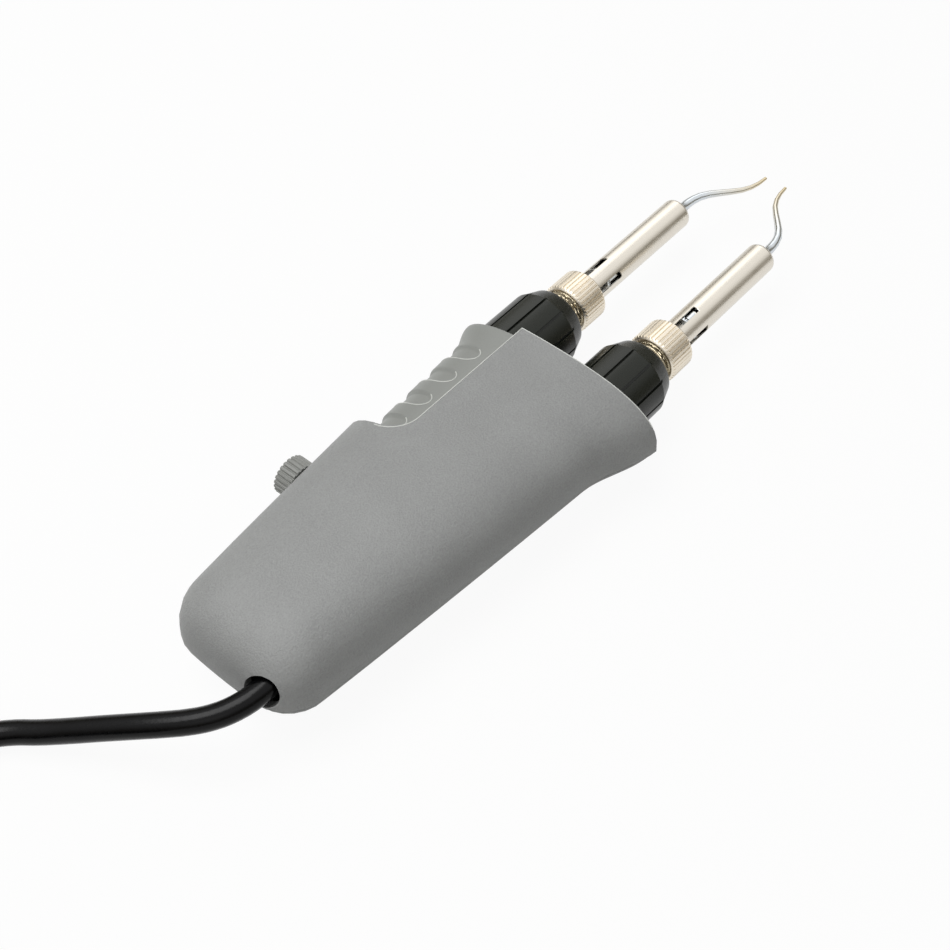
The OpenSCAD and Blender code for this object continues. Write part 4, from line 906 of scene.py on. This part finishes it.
def bead(name, body, places, thick_mm):
    """A thin round line along places, as a closed mesh."""
    bpy.ops.object.select_all(action="DESELECT")
    bpy.ops.curve.primitive_bezier_curve_add()
    piece = bpy.context.object
    piece.name = name
    piece.data.splines.clear()
    line = piece.data.splines.new("BEZIER")
    line.bezier_points.add(len(places) - 1)
    for point, place in zip(line.bezier_points, places):
        point.co = place * MM
        point.handle_left_type = point.handle_right_type = "AUTO"
    piece.data.dimensions = "3D"
    piece.data.bevel_depth = thick_mm / 2 * MM
    piece.data.bevel_resolution = BEAD_ROUND
    piece.data.resolution_u = BEAD_STEPS
    piece.data.use_fill_caps = True
    bpy.ops.object.convert(target="MESH")
    piece = bpy.context.object
    bpy.ops.object.shade_smooth()
    # The bead's pale colour is a painted highlight
    piece.data.materials.append(painted_highlight_finish)
    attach(piece, body)
    length = sum((b - a).length for a, b in zip(places, places[1:]))
    print(name, "is", round(length, 1), "mm long")


print("the top shell's crown is at", PARTING_Z + TOP_H, "mm")

# %% [markdown]
# ## Seam and mouth edges
# The seam's line follows the edge of the top shell from its mouth to the fillet behind the
# lever. The mouth's line goes over the crown and down the near side. Both are pale beads
# that paint a line of highlight, and lie a little sunk in the surface, so that only a fine
# ridge stands out.

# %% Seam and mouth edges
SUNK = 0.06
SEAM_THICK = 0.36
MOUTH_THICK = 0.3
MOUTH_IN = 0.15
SEAM_XS = (56.9, 50, 44, 38, 32, 26, 20)
MOUTH_YS = (
    9.5, 7, 4, 0.01, -4, -8, -12, -16, -19, -22, -24.5, -26.5, -28, -29.2, -30.2, -31,
    -31.5,
)
FILLET_STEPS = 8
sink = Vector((0, 0, SUNK))
seam_line = [top_place(x, SEAM_Y) for x in SEAM_XS]
for i in range(FILLET_STEPS + 1):
    a = math.radians(270 - 90 * i / FILLET_STEPS)
    x, y = NOTCH_X + NOTCH_R * math.cos(a), SEAM_Y + NOTCH_R + NOTCH_R * math.sin(a)
    seam_line.append(top_place(x, y))
mouth_line = [
    Vector((MOUTH_X - MOUTH_IN, y, top_place(MOUTH_X, y).z - SUNK)) for y in MOUTH_YS
]
seam_line = [place - sink for place in seam_line]
bead("seam_edge", "housing_body", seam_line, SEAM_THICK)
bead("mouth_edge", "housing_body", mouth_line, MOUTH_THICK)

# %% [markdown]
# ## Scallop edges
# A pale bead paints the highlight on the near side and the round end of each finger
# scallop, where the light falls. The line starts low on the lever's side, runs up the near
# edge, and goes most of the way round the end.

# %% Scallop edges
SCALLOP_THICK = 0.3
SCALLOP_SUNK = 0.05
RIM_STEPS = 14
NEAR_EDGE = (-8, 0, 12, 24, 36, GROOVE_END)
for i in range(GROOVE_COUNT):
    middle = LEVER_FRONT_X - GROOVE_FIRST - i * GROOVE_PITCH
    rim = [(-1, a) for a in NEAR_EDGE]
    rim += [(-math.cos(t), GROOVE_END + GROOVE_ROUND * math.sin(t))
            for t in (math.pi * k / RIM_STEPS for k in range(1, RIM_STEPS - 2))]
    bead("scallop_edge_%d" % (i + 1), "lever_arm",
         [lever_place(middle + u * GROOVE_HALF, math.radians(a), SCALLOP_SUNK)
          for u, a in rim], SCALLOP_THICK)

# %% [markdown]
# ## The cord's facts
# A cord is a fixed length of something flexible.

# %% The cord's facts
print("the cord runs from the tail through its coil to the plug")

# %% [markdown]
# ## Size
# The last line brings the scene up to date.

# %% Size and finish
bpy.context.view_layer.update()
